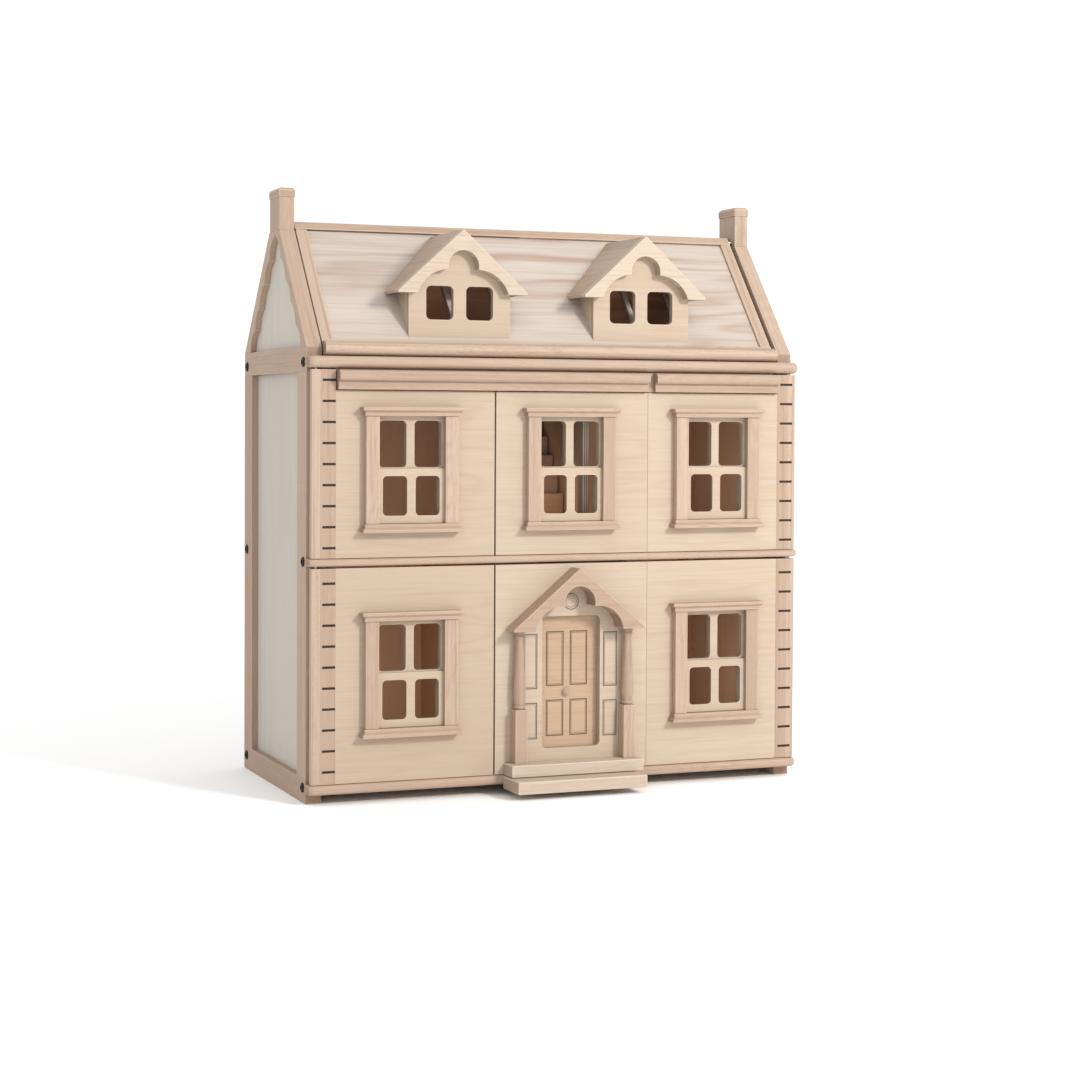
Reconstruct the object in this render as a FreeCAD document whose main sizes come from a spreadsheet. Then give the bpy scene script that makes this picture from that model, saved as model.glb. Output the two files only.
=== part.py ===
"""Wooden dollhouse: three floors, hinged front leaves, sliding sashes and a lifting roof.

The frame has +Z up, +X to the right as one faces the front, and the front looks along -Y.
Its origin is on the ground under the middle of the overall box. Inside this file, y counts
from the front edge of the side walls, and each sub-part's Placement then shifts it by front_y.
"""
import FreeCAD, Part

import math
import os
import re

import Sketcher

SIZES = {
    # overall and walls
    "front_y": -101.0,
    "board_half": 314.5,
    "board_nose": 18.0,
    "nose_corner": 8.0,
    "wall_out": 312.0,
    "wall_in": 293.5,
    "wall_depth": 268.5,
    "wall_top": 520.5,
    "rail_low": 28.0,
    "rail_top": 28.5,
    "stile_wide": 36.0,
    "panel_out": 304.5,
    "panel_thick": 5.0,
    "groove": 6.0,
    "back_thick": 6.0,
    # floor boards
    "base_low": 11.8,
    "base_top": 23.0,
    "middle_low": 271.4,
    "middle_top": 279.9,
    "attic_low": 496.5,
    "attic_top": 510.0,
    "bolt_front": 11.0,
    "bolt_rear": 256.0,
    "bolt_radius": 2.0,
    "bolt_reach": 30.0,
    "bolt_head": 5.8,
    "bolt_rise": 2.2,
    # inside walls and stairs
    "hall_left": -78.0,
    "hall_right": 86.0,
    "landing": 35.0,
    "partition": 8.0,
    "partition_front": 8.0,
    "doorway_high": 150.0,
    "doorway_wide": 50.0,
    "stair_width": 31.0,
    "stair_side": 2.0,
    "lower_stair_front": 92.0,
    "upper_stair_front": 30.0,
    "lower_tread": 15.8,
    "upper_tread": 16.0,
    "stair_depth": 42.0,
    # roof
    "pitch": 1.264,
    "pitch_angle": 51.65,
    "roof_middle": 134.25,
    "panel_gap": 0.4,
    "rafter_top": 662.0,
    "rafter_wide": 24.0,
    "scallop": 32.0,
    "gable_panel_out": 304.0,
    "chimney_front": 112.0,
    "chimney_rear": 154.0,
    "chimney_neck": 701.0,
    "chimney_top": 712.0,
    "roof_left": -292.0,
    "roof_right": 288.0,
    "roof_stile": 14.0,
    "roof_thick": 15.0,
    "roof_inset": 3.0,
    "roof_ply": 6.0,
    "roof_end": 195.0,
    "roof_rail": 183.0,
    "roof_start": 11.5,
    "eave_low": 511.2,
    "eave_high": 527.0,
    "eave_front": -12.0,
    "ridge_top": 673.0,
    "roof_pin_y": 121.0,
    "roof_pin_z": 667.0,
    "roof_pin_radius": 2.0,
    # dormers
    "dormer_left": -121.0,
    "dormer_right": 114.0,
    "dormer_half": 63.5,
    "dormer_face": 14.0,
    "dormer_board": 8.0,
    "dormer_brow": 1.0,
    "dormer_apex": 660.0,
    "dormer_tip": 80.5,
    "dormer_tip_z": 587.5,
    "dormer_foot": 585.0,
    "dormer_eave": 593.0,
    "dormer_peak": 649.5,
    "dormer_cusp": 613.0,
    "dormer_lobe": 635.5,
    "attic_pane_low": 554.8,
    "attic_pane_high": 594.2,
    "attic_pane_in": 8.0,
    "attic_pane_out": 41.8,
    "slab": 8.0,
    "slab_pitch": 0.9,
    "light_in": 3.0,
    "light_out": 56.0,
    "light_low": 546.0,
    "light_high": 604.0,
    # front leaves
    "leaf_front": -15.0,
    "leaf_back": -5.5,
    "post_back": -0.5,
    "pivot_x": 303.0,
    "pivot_y": -7.6,
    "pivot_radius": 1.5,
    "pivot_reach": 10.0,
    "running": 0.05,
    "left_post_in": -281.5,
    "right_post_in": 285.0,
    "left_seam": -88.0,
    "centre_edge": -86.0,
    "fold_x": 109.5,
    "fold_y": -2.5,
    "fold_gap": 0.2,
    "lower_leaf_low": 23.6,
    "lower_leaf_top": 269.0,
    "upper_leaf_low": 280.5,
    "upper_leaf_top": 494.7,
    "upper_ply_top": 471.0,
    "kerf_deep": 1.5,
    "kerf_high": 2.8,
    "left_kerf_out": -297.3,
    "right_kerf_out": 306.0,
    "kerf_pitch": 23.8,
    # cornice
    "cornice_low": 472.0,
    "cornice_mid": 482.0,
    "cornice_top": 494.5,
    "cornice_front": -27.0,
    "cornice_step": -21.0,
    "cornice_left": -280.0,
    "cornice_split_left": 107.0,
    "cornice_split_right": 116.5,
    "cornice_right": 283.2,
    # windows, about their own centre line and the sill's lower edge
    "left_window": -192.0,
    "centre_window": 7.5,
    "right_window": 200.0,
    "upper_sill": 309.0,
    "lower_sill": 75.3,
    "casing_in": 40.0,
    "casing_out": 56.0,
    "head_half": 61.0,
    "sill_high": 10.0,
    "head_low": 133.2,
    "head_high": 143.4,
    "casing_front": -24.0,
    "head_front": -29.0,
    "sash_half": 43.9,
    "sash_front": -18.9,
    "sash_back": -15.3,
    "track_half": 44.3,
    "track_front": -19.3,
    "sash_low": 10.4,
    "sash_high": 73.0,
    "sash_pane_in": 5.15,
    "sash_pane_out": 34.5,
    "sash_pane_low": 19.3,
    "sash_pane_high": 64.6,
    "pane_in": 4.9,
    "pane_out": 38.0,
    "pane_low": 74.5,
    "pane_high": 128.0,
    "gap_half": 35.0,
    "gap_low": 17.0,
    "gap_high": 66.5,
    "pane_corner": 5.0,
    # porch and entrance
    "porch_x": 10.75,
    "porch_front": -41.0,
    "pediment_apex": 265.0,
    "pediment_half": 84.0,
    "pediment_tip": 194.5,
    "pediment_foot": 192.0,
    "pediment_cusp": 219.7,
    "pediment_lobe": 243.6,
    "column_gap": 69.5,
    "column_y": -22.7,
    "pedestal": 15.5,
    "pedestal_top": 100.0,
    "step_left": -75.0,
    "step_right": 93.5,
    "step_front": -42.0,
    "step_low": 23.0,
    "step_top": 37.0,
    "ground_step_front": -66.5,
    "ground_step_left": -77.0,
    "ground_step_right": 87.0,
    "ground_step_low": 7.5,
    "ground_step_top": 22.2,
    "door_left": -26.7,
    "door_right": 48.2,
    "door_low": 51.0,
    "door_high": 207.0,
    "door_corner": 6.0,
    "leaf_hinge_x": -30.4,
    "leaf_hinge_y": -2.6,
    "door_leaf_half": 2.5,
    "door_leaf_right": 53.5,
    "door_leaf_low": 46.0,
    "door_leaf_high": 212.0,
    "door_pin": 1.0,
    "knob_x": 8.0,
    "knob_z": 115.8,
}

doc = FreeCAD.newDocument("dollhouse")
sheet = doc.addObject("Spreadsheet::Sheet", "sizes")
for row, (alias, number) in enumerate(SIZES.items(), start=1):
    sheet.set(f"A{row}", alias)
    sheet.set(f"B{row}", str(number))
    sheet.setAlias(f"B{row}", alias)
doc.recompute()

sub_parts = []


def formula(text):
    """The text as an expression that reads the sheet: each alias gets the sheet's name."""
    return re.sub(r"[a-z][a-z_]+", lambda m: f"sizes.{m[0]}" if m[0] in SIZES else m[0], str(text))


def number(text):
    """The value that an expression has now."""
    return float(sheet.evalExpression(formula(text)))


def bind(thing, **properties):
    """Binds properties of an object to expressions; a name such as Placement__Base__x has dots."""
    for name, text in properties.items():
        thing.setExpression(name.replace("__", "."), formula(text))


def finish(thing, label):
    """Names a sub-part, puts it in its place and keeps it for writing."""
    thing.Label = label
    bind(thing, Placement__Base__y="front_y")
    sub_parts.append(thing)
    return thing


def block(x, y, z):
    """A box from its (low, high) pair along each axis."""
    box = doc.addObject("Part::Box", "block")
    bind(
        box,
        Length=f"({x[1]}) - ({x[0]})",
        Width=f"({y[1]}) - ({y[0]})",
        Height=f"({z[1]}) - ({z[0]})",
        Placement__Base__x=x[0],
        Placement__Base__y=y[0],
        Placement__Base__z=z[0],
    )
    return box


def rod(radius, start, length, axis="z"):
    """A cylinder from its start point along +X, +Y or +Z."""
    cylinder = doc.addObject("Part::Cylinder", "rod")
    turns = {
        "x": FreeCAD.Rotation(FreeCAD.Vector(0, 1, 0), 90),
        "y": FreeCAD.Rotation(FreeCAD.Vector(1, 0, 0), -90),
        "z": FreeCAD.Rotation(),
    }
    cylinder.Placement = FreeCAD.Placement(FreeCAD.Vector(), turns[axis])
    bind(
        cylinder,
        Radius=radius,
        Height=length,
        Placement__Base__x=start[0],
        Placement__Base__y=start[1],
        Placement__Base__z=start[2],
    )
    return cylinder


def fuse(parts):
    """One solid from solids that touch or overlap."""
    joined = doc.addObject("Part::MultiFuse", "joined")
    joined.Shapes = parts
    joined.Refine = True
    return joined


def group(parts):
    """Several separate solids as one sub-part."""
    gathered = doc.addObject("Part::Compound", "gathered")
    gathered.Links = parts
    return gathered


def cut(base, tools):
    """The base less the tools."""
    less = doc.addObject("Part::Cut", "less")
    less.Base = base
    less.Tool = tools[0] if len(tools) == 1 else group(tools)
    return less


def mirrored(base):
    """The base seen in a mirror on the middle plane, x = 0."""
    other = doc.addObject("Part::Mirroring", "mirrored")
    other.Source = base
    other.Base = FreeCAD.Vector(0, 0, 0)
    other.Normal = FreeCAD.Vector(1, 0, 0)
    return other


def arc_between(a, b, radius):
    """An arc from a to b, less than a half turn, and whether it runs anticlockwise.

    A positive radius turns left, so it bulges out of an outline drawn anticlockwise.
    """
    chord = b - a
    rise = math.sqrt(max(radius * radius - (chord.Length / 2) ** 2, 0.0))
    left = FreeCAD.Vector(-chord.y, chord.x, 0).normalize()
    turn = 1 if radius > 0 else -1
    centre = (a + b) * 0.5 + left * (rise * turn)
    first, last = (a, b) if turn > 0 else (b, a)
    start = math.atan2(first.y - centre.y, first.x - centre.x)
    end = math.atan2(last.y - centre.y, last.x - centre.x)
    if end < start:
        end += 2 * math.pi
    circle = Part.Circle(centre, FreeCAD.Vector(0, 0, 1), abs(radius))
    return Part.ArcOfCircle(circle, start, end), turn > 0


def draw(sketch, corners):
    """Draws one closed outline. A corner is (x, y), or (x, y, radius) with an arc to the next one."""
    points = [FreeCAD.Vector(number(c[0]), number(c[1]), 0) for c in corners]
    edges = []
    for index, corner in enumerate(corners):
        a, b = points[index], points[(index + 1) % len(points)]
        if len(corner) == 3:
            curve, forward = arc_between(a, b, number(corner[2]))
            edges.append((sketch.addGeometry(curve, False), 1 if forward else 2, 2 if forward else 1))
        else:
            edges.append((sketch.addGeometry(Part.LineSegment(a, b), False), 1, 2))
    for index, corner in enumerate(corners):
        edge, start, _ = edges[index]
        before, _, end = edges[index - 1]
        sketch.addConstraint(Sketcher.Constraint("Coincident", before, end, edge, start))
        for kind, text, value in zip(("DistanceX", "DistanceY"), corner, points[index]):
            made = sketch.addConstraint(Sketcher.Constraint(kind, -1, 1, edge, start, value))
            sketch.setExpression(f"Constraints[{made}]", formula(text))
        if len(corner) == 3:
            radius = abs(number(corner[2]))
            made = sketch.addConstraint(Sketcher.Constraint("Radius", edge, radius))
            sketch.setExpression(f"Constraints[{made}]", f"abs({formula(corner[2])})")


def plane_of(body, role):
    """One of a body's own origin planes."""
    return next(f for f in body.Origin.OriginFeatures if f.Role == role)


def plate(role, outlines, start, thick):
    """A body padded from a sketch on an origin plane, along that plane's normal.

    The normals are +Z for XY_Plane, -Y for XZ_Plane and +X for YZ_Plane.
    """
    body = doc.addObject("PartDesign::Body", "body")
    sketch = body.newObject("Sketcher::SketchObject", "outline")
    sketch.AttachmentSupport = [(plane_of(body, role), "")]
    sketch.MapMode = "FlatFace"
    bind(sketch, AttachmentOffset__Base__z=start)
    for outline in outlines:
        draw(sketch, outline)
    pad = body.newObject("PartDesign::Pad", "pad")
    pad.Profile = sketch
    bind(pad, Length=thick)
    return body


def turned(points, x, y):
    """A body turned about a vertical axis at x, y from (radius, height) points."""
    body = doc.addObject("PartDesign::Body", "turned")
    sketch = body.newObject("Sketcher::SketchObject", "profile")
    sketch.AttachmentSupport = [(plane_of(body, "XZ_Plane"), "")]
    sketch.MapMode = "FlatFace"
    draw(sketch, [("0", str(points[0][1]))] + points + [("0", str(points[-1][1]))])
    turn = body.newObject("PartDesign::Revolution", "turn")
    turn.Profile = sketch
    turn.ReferenceAxis = (sketch, ["V_Axis"])
    turn.Angle = 360.0
    bind(body, Placement__Base__x=x, Placement__Base__y=y)
    return body


def soften(body, radius, chosen):
    """Rounds the edges of a body's last feature that the chosen test picks."""
    doc.recompute()
    base = body.Tip
    names = [f"Edge{i}" for i, edge in enumerate(base.Shape.Edges, start=1) if chosen(edge)]
    fillet = body.newObject("PartDesign::Fillet", "softened")
    fillet.Base = (base, names)
    bind(fillet, Radius=radius)
    return body


def rectangle(x, y):
    """Outline corners of a rectangle."""
    return [(x[0], y[0]), (x[1], y[0]), (x[1], y[1]), (x[0], y[1])]


def rounded(x, y, radius):
    """Outline corners of a rectangle with round corners, anticlockwise."""
    return [
        (f"{x[0]} + {radius}", y[0]),
        (f"{x[1]} - {radius}", y[0], radius),
        (x[1], f"{y[0]} + {radius}"),
        (x[1], f"{y[1]} - {radius}", radius),
        (f"{x[1]} - {radius}", y[1]),
        (f"{x[0]} + {radius}", y[1], radius),
        (x[0], f"{y[1]} - {radius}"),
        (x[0], f"{y[0]} + {radius}", radius),
    ]


# ---------------------------------------------------------------- floor boards
def floor_board(label, low, top, hole=None):
    """A board whose wide front strip passes before the side walls and ends in a round nose."""
    outline = [
        ("-board_half + nose_corner", "-board_nose"),
        ("board_half - nose_corner", "-board_nose", "nose_corner"),
        ("board_half", "-board_nose + nose_corner"),
        ("board_half", "0"),
        ("wall_in", "0"),
        ("wall_in", "wall_depth - back_thick"),
        ("-wall_in", "wall_depth - back_thick"),
        ("-wall_in", "0"),
        ("-board_half", "0"),
        ("-board_half", "-board_nose + nose_corner", "nose_corner"),
    ]
    outlines = [outline] + ([rectangle(*hole)] if hole else [])
    board = plate("XY_Plane", outlines, low, f"{top} - {low}")

    def is_nose(edge):
        box = edge.BoundBox
        return box.ZLength < 0.01 and box.YMax < 0.01 and box.YMin < -0.01

    soften(board, f"0.42 * ({top} - {low})", is_nose)
    holes = [pivot_hole(side * number("pivot_x"), low, top) for side in (-1, 1)]
    holes += [bolt_hole(side, f"({low} + {top}) / 2", y) for side in (-1, 1) for y in ("bolt_front", "bolt_rear")]
    return finish(cut(board, holes), label)


def pivot_hole(x, low, top):
    """The hole that holds a leaf's pivot pins in a board."""
    return rod("pivot_radius", (x, "pivot_y", low), f"{top} - {low}")


def bolt_hole(side, z, y):
    """The hole of one wall bolt, from the wall's outer face inwards."""
    start = "wall_out - bolt_reach" if side > 0 else "-wall_out"
    return rod("bolt_radius", (start, y, z), "bolt_reach", "x")


floor_board("base_floor", "base_low", "base_top")
floor_board(
    "middle_floor",
    "middle_low",
    "middle_top",
    (("-landing", "0"), ("lower_stair_front + 5 * lower_tread", "lower_stair_front + 10 * lower_tread")),
)
floor_board(
    "attic_floor",
    "attic_low",
    "attic_top",
    (("0", "landing"), ("upper_stair_front + 4 * upper_tread", "upper_stair_front + 9 * upper_tread")),
)

# ---------------------------------------------------------------- side walls
FLOORS = (("base_low", "base_top"), ("middle_low", "middle_top"), ("attic_low", "attic_top"))


def side_frame():
    """The right wall's four members, grooved for the panel and bored for the bolts."""
    across = ("wall_in", "wall_out")
    members = [
        block(across, ("0", "wall_depth"), ("0", "rail_low")),
        block(across, ("0", "wall_depth"), ("wall_top - rail_top", "wall_top")),
        block(across, ("0", "stile_wide"), ("rail_low", "wall_top - rail_top")),
        block(across, ("wall_depth - stile_wide", "wall_depth"), ("rail_low", "wall_top - rail_top")),
    ]
    holes = [bolt_hole(1, f"({low} + {top}) / 2", y) for low, top in FLOORS for y in ("bolt_front", "bolt_rear")]
    return cut(group(members), [side_panel()] + holes)


def side_panel():
    """The right wall's plywood panel, which stands in grooves all round."""
    return block(
        ("panel_out - panel_thick", "panel_out"),
        ("stile_wide - groove", "wall_depth - stile_wide + groove"),
        ("rail_low - groove", "wall_top - rail_top + groove"),
    )


finish(mirrored(side_frame()), "left_wall_frame")
finish(group([side_frame()]), "right_wall_frame")
finish(group([side_panel(), mirrored(side_panel())]), "side_panels")


def wall_bolt(y, z):
    """One round-headed bolt of the right wall."""
    shank = rod("bolt_radius", ("wall_out - bolt_reach", y, z), "bolt_reach", "x")
    head = rod("bolt_head", ("wall_out", y, z), "bolt_rise", "x")
    return fuse([shank, head])


bolts = [wall_bolt(y, f"({low} + {top}) / 2") for low, top in FLOORS for y in ("bolt_front", "bolt_rear")]
finish(group(bolts + [mirrored(bolt) for bolt in bolts]), "wall_bolts")

# ---------------------------------------------------------------- back, partitions and stairs
across = ("-wall_in", "wall_in")
back_y = ("wall_depth - back_thick", "wall_depth")
back_split = "(middle_low + middle_top) / 2"
back_panels = [
    block(across, back_y, ("base_low", f"{back_split} - panel_gap / 2")),
    block(across, back_y, (f"{back_split} + panel_gap / 2", "attic_top")),
]
finish(group(back_panels), "back_panels")


def partition(x, low, top, doorway_front):
    """An inside wall with a doorway, from x to the right."""
    y = ("partition_front", "wall_depth - back_thick")
    doorway_rear = f"{doorway_front} + doorway_wide"
    outline = [
        (y[0], low),
        (doorway_front, low),
        (doorway_front, f"{low} + doorway_high"),
        (doorway_rear, f"{low} + doorway_high"),
        (doorway_rear, low),
        (y[1], low),
        (y[1], top),
        (y[0], top),
    ]
    return plate("YZ_Plane", [outline], x, "partition")


finish(
    group(
        [
            partition("hall_left", "base_top", "middle_low", "110"),
            partition("hall_right", "base_top", "middle_low", "110"),
        ]
    ),
    "lower_partitions",
)
finish(
    group(
        [
            partition("-landing - partition", "middle_top", "attic_low", "60"),
            partition("landing", "middle_top", "attic_low", "200"),
        ]
    ),
    "upper_partitions",
)


def staircase(label, x, front, tread, low, high, steps):
    """A flight cut from one block: a step outline with a sloping underside."""
    rise = f"(({high}) - ({low})) / {steps + 1}"
    outline = []
    for step in range(steps):
        outline.append((f"{front} + {step} * {tread}", f"{low} + {step} * {rise}"))
        outline.append((f"{front} + {step} * {tread}", f"{low} + {step + 1} * {rise}"))
    end = f"{front} + {steps} * {tread}"
    outline.append((end, f"{low} + {steps} * {rise}"))
    outline.append((end, f"{low} + {steps} * {rise} - stair_depth"))
    outline.append((f"{front} + stair_depth * 0.75", low))
    outline.reverse()
    return finish(plate("YZ_Plane", [outline], x, "stair_width"), label)


staircase(
    "lower_staircase", "-landing + stair_side", "lower_stair_front", "lower_tread", "base_top", "middle_top", 10
)
staircase("upper_staircase", "stair_side", "upper_stair_front", "upper_tread", "middle_top", "attic_top", 9)

# ---------------------------------------------------------------- gables and chimneys
WAVES = 5


def rafter():
    """The right gable's front rafter: straight outside, scalloped inside, level at both ends."""
    inner_foot = "rafter_wide"
    rise = "(rafter_top - wall_top)"
    outline = [
        (inner_foot, "wall_top"),
    ]
    for wave in range(WAVES + 1):
        share = f"{wave} / {WAVES + 0.25}"
        y = f"rafter_wide + {share} * {rise} / pitch"
        z = f"wall_top + {share} * {rise}"
        if wave:
            outline[-1] = outline[-1] + ("-scallop",)
            outline.append((y, z))
    outline.append(("roof_middle", "wall_top + (roof_middle - rafter_wide) * pitch"))
    outline.append(("roof_middle", "rafter_top"))
    outline.append((f"{rise} / pitch", "rafter_top"))
    outline.append(("0", "wall_top"))
    return plate("YZ_Plane", [outline], "wall_in", "wall_out - wall_in")


def about_middle(base):
    """The base seen in a mirror on the roof's middle plane."""
    other = doc.addObject("Part::Mirroring", "rear_copy")
    other.Source = base
    other.Normal = FreeCAD.Vector(0, 1, 0)
    bind(other, Base__y="roof_middle")
    return other


def gable_panel():
    """The right gable's plywood triangle, inside the rafters."""
    outline = [
        ("4", "wall_top"),
        ("2 * roof_middle - 4", "wall_top"),
        ("roof_middle + 18", "rafter_top - 4"),
        ("roof_middle - 18", "rafter_top - 4"),
    ]
    return plate("YZ_Plane", [outline], "gable_panel_out - panel_thick", "panel_thick")


front_rafter = rafter()
rafters = cut(group([front_rafter, about_middle(front_rafter)]), [gable_panel()])
finish(group([rafters, mirrored(rafters)]), "gable_rafters")
right_gable = gable_panel()
finish(group([right_gable, mirrored(right_gable)]), "gable_panels")

stack = cut(
    block(("wall_in + 0.2", "wall_out"), ("chimney_front", "chimney_rear"), ("rafter_top", "chimney_neck")),
    [rod("roof_pin_radius", ("wall_in", "roof_pin_y", "roof_pin_z"), "10", "x")],
)
finish(group([stack, mirrored(stack)]), "chimneys")


def chimney_cap():
    """The right chimney's cap, a little larger than the stack, with a sloped top."""
    cap = plate(
        "XY_Plane",
        [rectangle(("wall_in - 0.8", "wall_out + 0.9"), ("chimney_front - 1", "chimney_rear + 1"))],
        "chimney_neck",
        "chimney_top - chimney_neck",
    )
    doc.recompute()
    base = cap.Tip
    level = number("chimney_top") - 0.1
    top = [f"Edge{i}" for i, edge in enumerate(base.Shape.Edges, 1) if edge.BoundBox.ZMin > level]
    chamfer = cap.newObject("PartDesign::Chamfer", "sloped")
    chamfer.Base = (base, top)
    chamfer.Size = 2.5
    return cap


right_cap = chimney_cap()
finish(group([right_cap, mirrored(right_cap)]), "chimney_caps")


# ---------------------------------------------------------------- roof slopes
def slope_point(along, out):
    """Expressions for y and z of a point on the front slope: up the rafters, and out of them."""
    y = f"({along}) * cos(pitch_angle * 1deg) - ({out}) * sin(pitch_angle * 1deg)"
    z = f"wall_top + ({along}) * sin(pitch_angle * 1deg) + ({out}) * cos(pitch_angle * 1deg)"
    return (y, z)


def slope_strip(x, along, out):
    """A board on the front slope, from (low, high) pairs across, up the slope and out of it."""
    outline = [
        slope_point(along[0], out[0]),
        slope_point(along[1], out[0]),
        slope_point(along[1], out[1]),
        slope_point(along[0], out[1]),
    ]
    outline.reverse()
    return plate("YZ_Plane", [outline], x[0], f"({x[1]}) - ({x[0]})")


def eave_rail(nosed):
    """The bottom rail of a slope: nosed over the attic board, or flush with the wall."""
    inner = slope_point("roof_start", "-roof_thick")
    if nosed:
        base = "eave_front + (eave_high - eave_low) / 2"
        outline = [
            ("(eave_high - wall_top) / pitch", "eave_high"),
            (base, "eave_high", "(eave_high - eave_low) / 2 + 0.05"),
            (base, "eave_low"),
        ]
    else:
        outline = [("0", "wall_top"), ("0", "eave_low")]
    outline += [(inner[0], "eave_low"), inner, slope_point("roof_start", "0")]
    return plate("YZ_Plane", [outline], "roof_left", "roof_right - roof_left")


def slope_frame(nosed):
    """The four members of a framed slope."""
    full = ("roof_left", "roof_right")
    out = ("-roof_thick", "0")
    return [
        eave_rail(nosed),
        slope_strip(full, ("roof_rail", "roof_end"), out),
        slope_strip(("roof_left", "roof_left + roof_stile"), ("roof_start", "roof_rail"), out),
        slope_strip(("roof_right - roof_stile", "roof_right"), ("roof_start", "roof_rail"), out),
    ]


def slope_panel():
    """The plywood of a framed slope, set back from its face."""
    return slope_strip(
        ("roof_left + roof_stile", "roof_right - roof_stile"),
        ("roof_start", "roof_rail"),
        ("-roof_inset - roof_ply", "-roof_inset"),
    )


pin_holes = [
    rod("roof_pin_radius + running", (x, "roof_pin_y", "roof_pin_z"), "20", "x")
    for x in ("roof_left", "roof_right - 20")
]
finish(cut(group(slope_frame(True)), pin_holes), "roof_frame")
lights = [
    block((f"{x} + {low}", f"{x} + {high}"), ("-50", "150"), ("light_low", "light_high"))
    for x in ("dormer_left", "dormer_right")
    for low, high in (("light_in", "light_out"), ("-light_out", "-light_in"))
]
finish(cut(slope_panel(), lights), "roof_panel")
finish(group([about_middle(piece) for piece in slope_frame(False)]), "rear_roof_frame")
finish(group([about_middle(slope_panel())]), "rear_roof_panel")

ridge = [
    ("roof_pin_y + 5.6", "ridge_top"),
    ("roof_middle - 0.5", "ridge_top - 8.6"),
    ("roof_middle + 1.2", "ridge_top - 8.6"),
    ("2 * roof_middle - roof_pin_y - 0.8", "ridge_top"),
]
finish(plate("YZ_Plane", [ridge], "-wall_in", "2 * wall_in"), "ridge_board")


# ---------------------------------------------------------------- dormers
def trefoil(x, top, cusp, cusp_x, foot, foot_x, ease):
    """Outline points of the three-lobed cut-out, from the left foot to the right one."""
    rise = f"({top} - {cusp})"
    lobe = f"-({cusp_x} * {cusp_x} + {rise} * {rise}) / (2 * {rise})"
    side = f"-({foot_x} - {cusp_x}) * {ease}"
    return [
        (f"{x} - {foot_x}", foot, side),
        (f"{x} - {cusp_x}", cusp, lobe),
        (x, top, lobe),
        (f"{x} + {cusp_x}", cusp, side),
        (f"{x} + {foot_x}", foot),
    ]


def brow(x, apex, half, tip_z, foot, lobes, back, thick):
    """A gable-shaped board with a three-lobed cut-out below."""
    outline = trefoil(x, *lobes) + [
        (f"{x} + {half}", foot),
        (f"{x} + {half}", tip_z),
        (x, apex),
        (f"{x} - {half}", tip_z),
        (f"{x} - {half}", foot),
    ]
    return plate("XZ_Plane", [outline], f"-({back})", thick)


def slope_wedge():
    """Everything under the plywood of the front slope, to trim what stands on it."""
    lower = slope_point("-80", "-roof_inset")
    upper = slope_point("260", "-roof_inset")
    outline = [lower, (upper[0], lower[1]), upper]
    return plate("YZ_Plane", [outline], "-wall_out", "2 * wall_out")


def dormer_front(x):
    """The dormer's front board with its two panes."""
    outline = [
        (f"{x} - dormer_half", "wall_top + 10"),
        (f"{x} + dormer_half", "wall_top + 10"),
        (f"{x} + dormer_half", "dormer_eave"),
        (x, "dormer_peak"),
        (f"{x} - dormer_half", "dormer_eave"),
    ]
    high = ("attic_pane_low", "attic_pane_high")
    panes = [
        rounded((f"{x} - attic_pane_out", f"{x} - attic_pane_in"), high, "6"),
        rounded((f"{x} + attic_pane_in", f"{x} + attic_pane_out"), high, "6"),
    ]
    board = plate("XZ_Plane", [outline] + panes, "-(dormer_face + dormer_board)", "dormer_board")
    return cut(board, [slope_wedge()])


def dormer_cheeks(x):
    """The dormer's two side boards."""
    y = ("dormer_face + dormer_board", "90")
    low_high = ("wall_top + 10", "dormer_eave - 1")
    cheeks = [
        block((f"{x} - dormer_half", f"{x} - dormer_half + 6"), y, low_high),
        block((f"{x} + dormer_half - 6", f"{x} + dormer_half"), y, low_high),
    ]
    return [cut(cheek, [slope_wedge()]) for cheek in cheeks]


def dormer_slabs(x):
    """The dormer's two roof boards, which run back into the main slope."""
    fall = "(dormer_apex - dormer_tip_z) / dormer_tip"
    slabs = []
    for side in (-1, 1):
        outline = [
            (x, "dormer_apex - slab"),
            (f"{x} + {side} * (dormer_tip - 2)", "dormer_tip_z - slab * 0.3"),
            (f"{x} + {side} * (dormer_tip - 2)", "dormer_tip_z + 2 * slab_pitch"),
            (x, "dormer_apex"),
        ]
        if side < 0:
            outline.reverse()
        slab = plate("XZ_Plane", [outline], "-roof_middle", "roof_middle - dormer_face")
        slabs.append(cut(slab, [slope_wedge()]))
    return slabs


DORMERS = ("dormer_left", "dormer_right")
DORMER_LOBES = ("dormer_lobe", "dormer_cusp", "18.7", "dormer_foot", "56.5", "1.08")
finish(group([dormer_front(x) for x in DORMERS]), "dormer_fronts")
finish(group([cheek for x in DORMERS for cheek in dormer_cheeks(x)]), "dormer_cheeks")
finish(group([slab for x in DORMERS for slab in dormer_slabs(x)]), "dormer_roofs")
dormer_brows = [
    brow(
        x,
        "dormer_apex",
        "dormer_tip",
        "dormer_tip_z",
        "dormer_foot",
        DORMER_LOBES,
        "dormer_face",
        "dormer_face - dormer_brow",
    )
    for x in DORMERS
]
finish(group(dormer_brows), "dormer_brows")


# ---------------------------------------------------------------- cornice
def cornice(left, right):
    """One stretch of the cornice: a proud round upper half over a stepped lower half."""
    outline = [
        ("leaf_front", "cornice_low"),
        ("leaf_front", "cornice_top"),
        ("cornice_front + 4", "cornice_top", "4"),
        ("cornice_front", "cornice_top - 4"),
        ("cornice_front", "cornice_mid + 3", "3"),
        ("cornice_front + 3", "cornice_mid"),
        ("cornice_step", "cornice_mid"),
        ("cornice_step", "cornice_low"),
    ]
    return plate("YZ_Plane", [outline], left, f"({right}) - ({left})")


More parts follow.
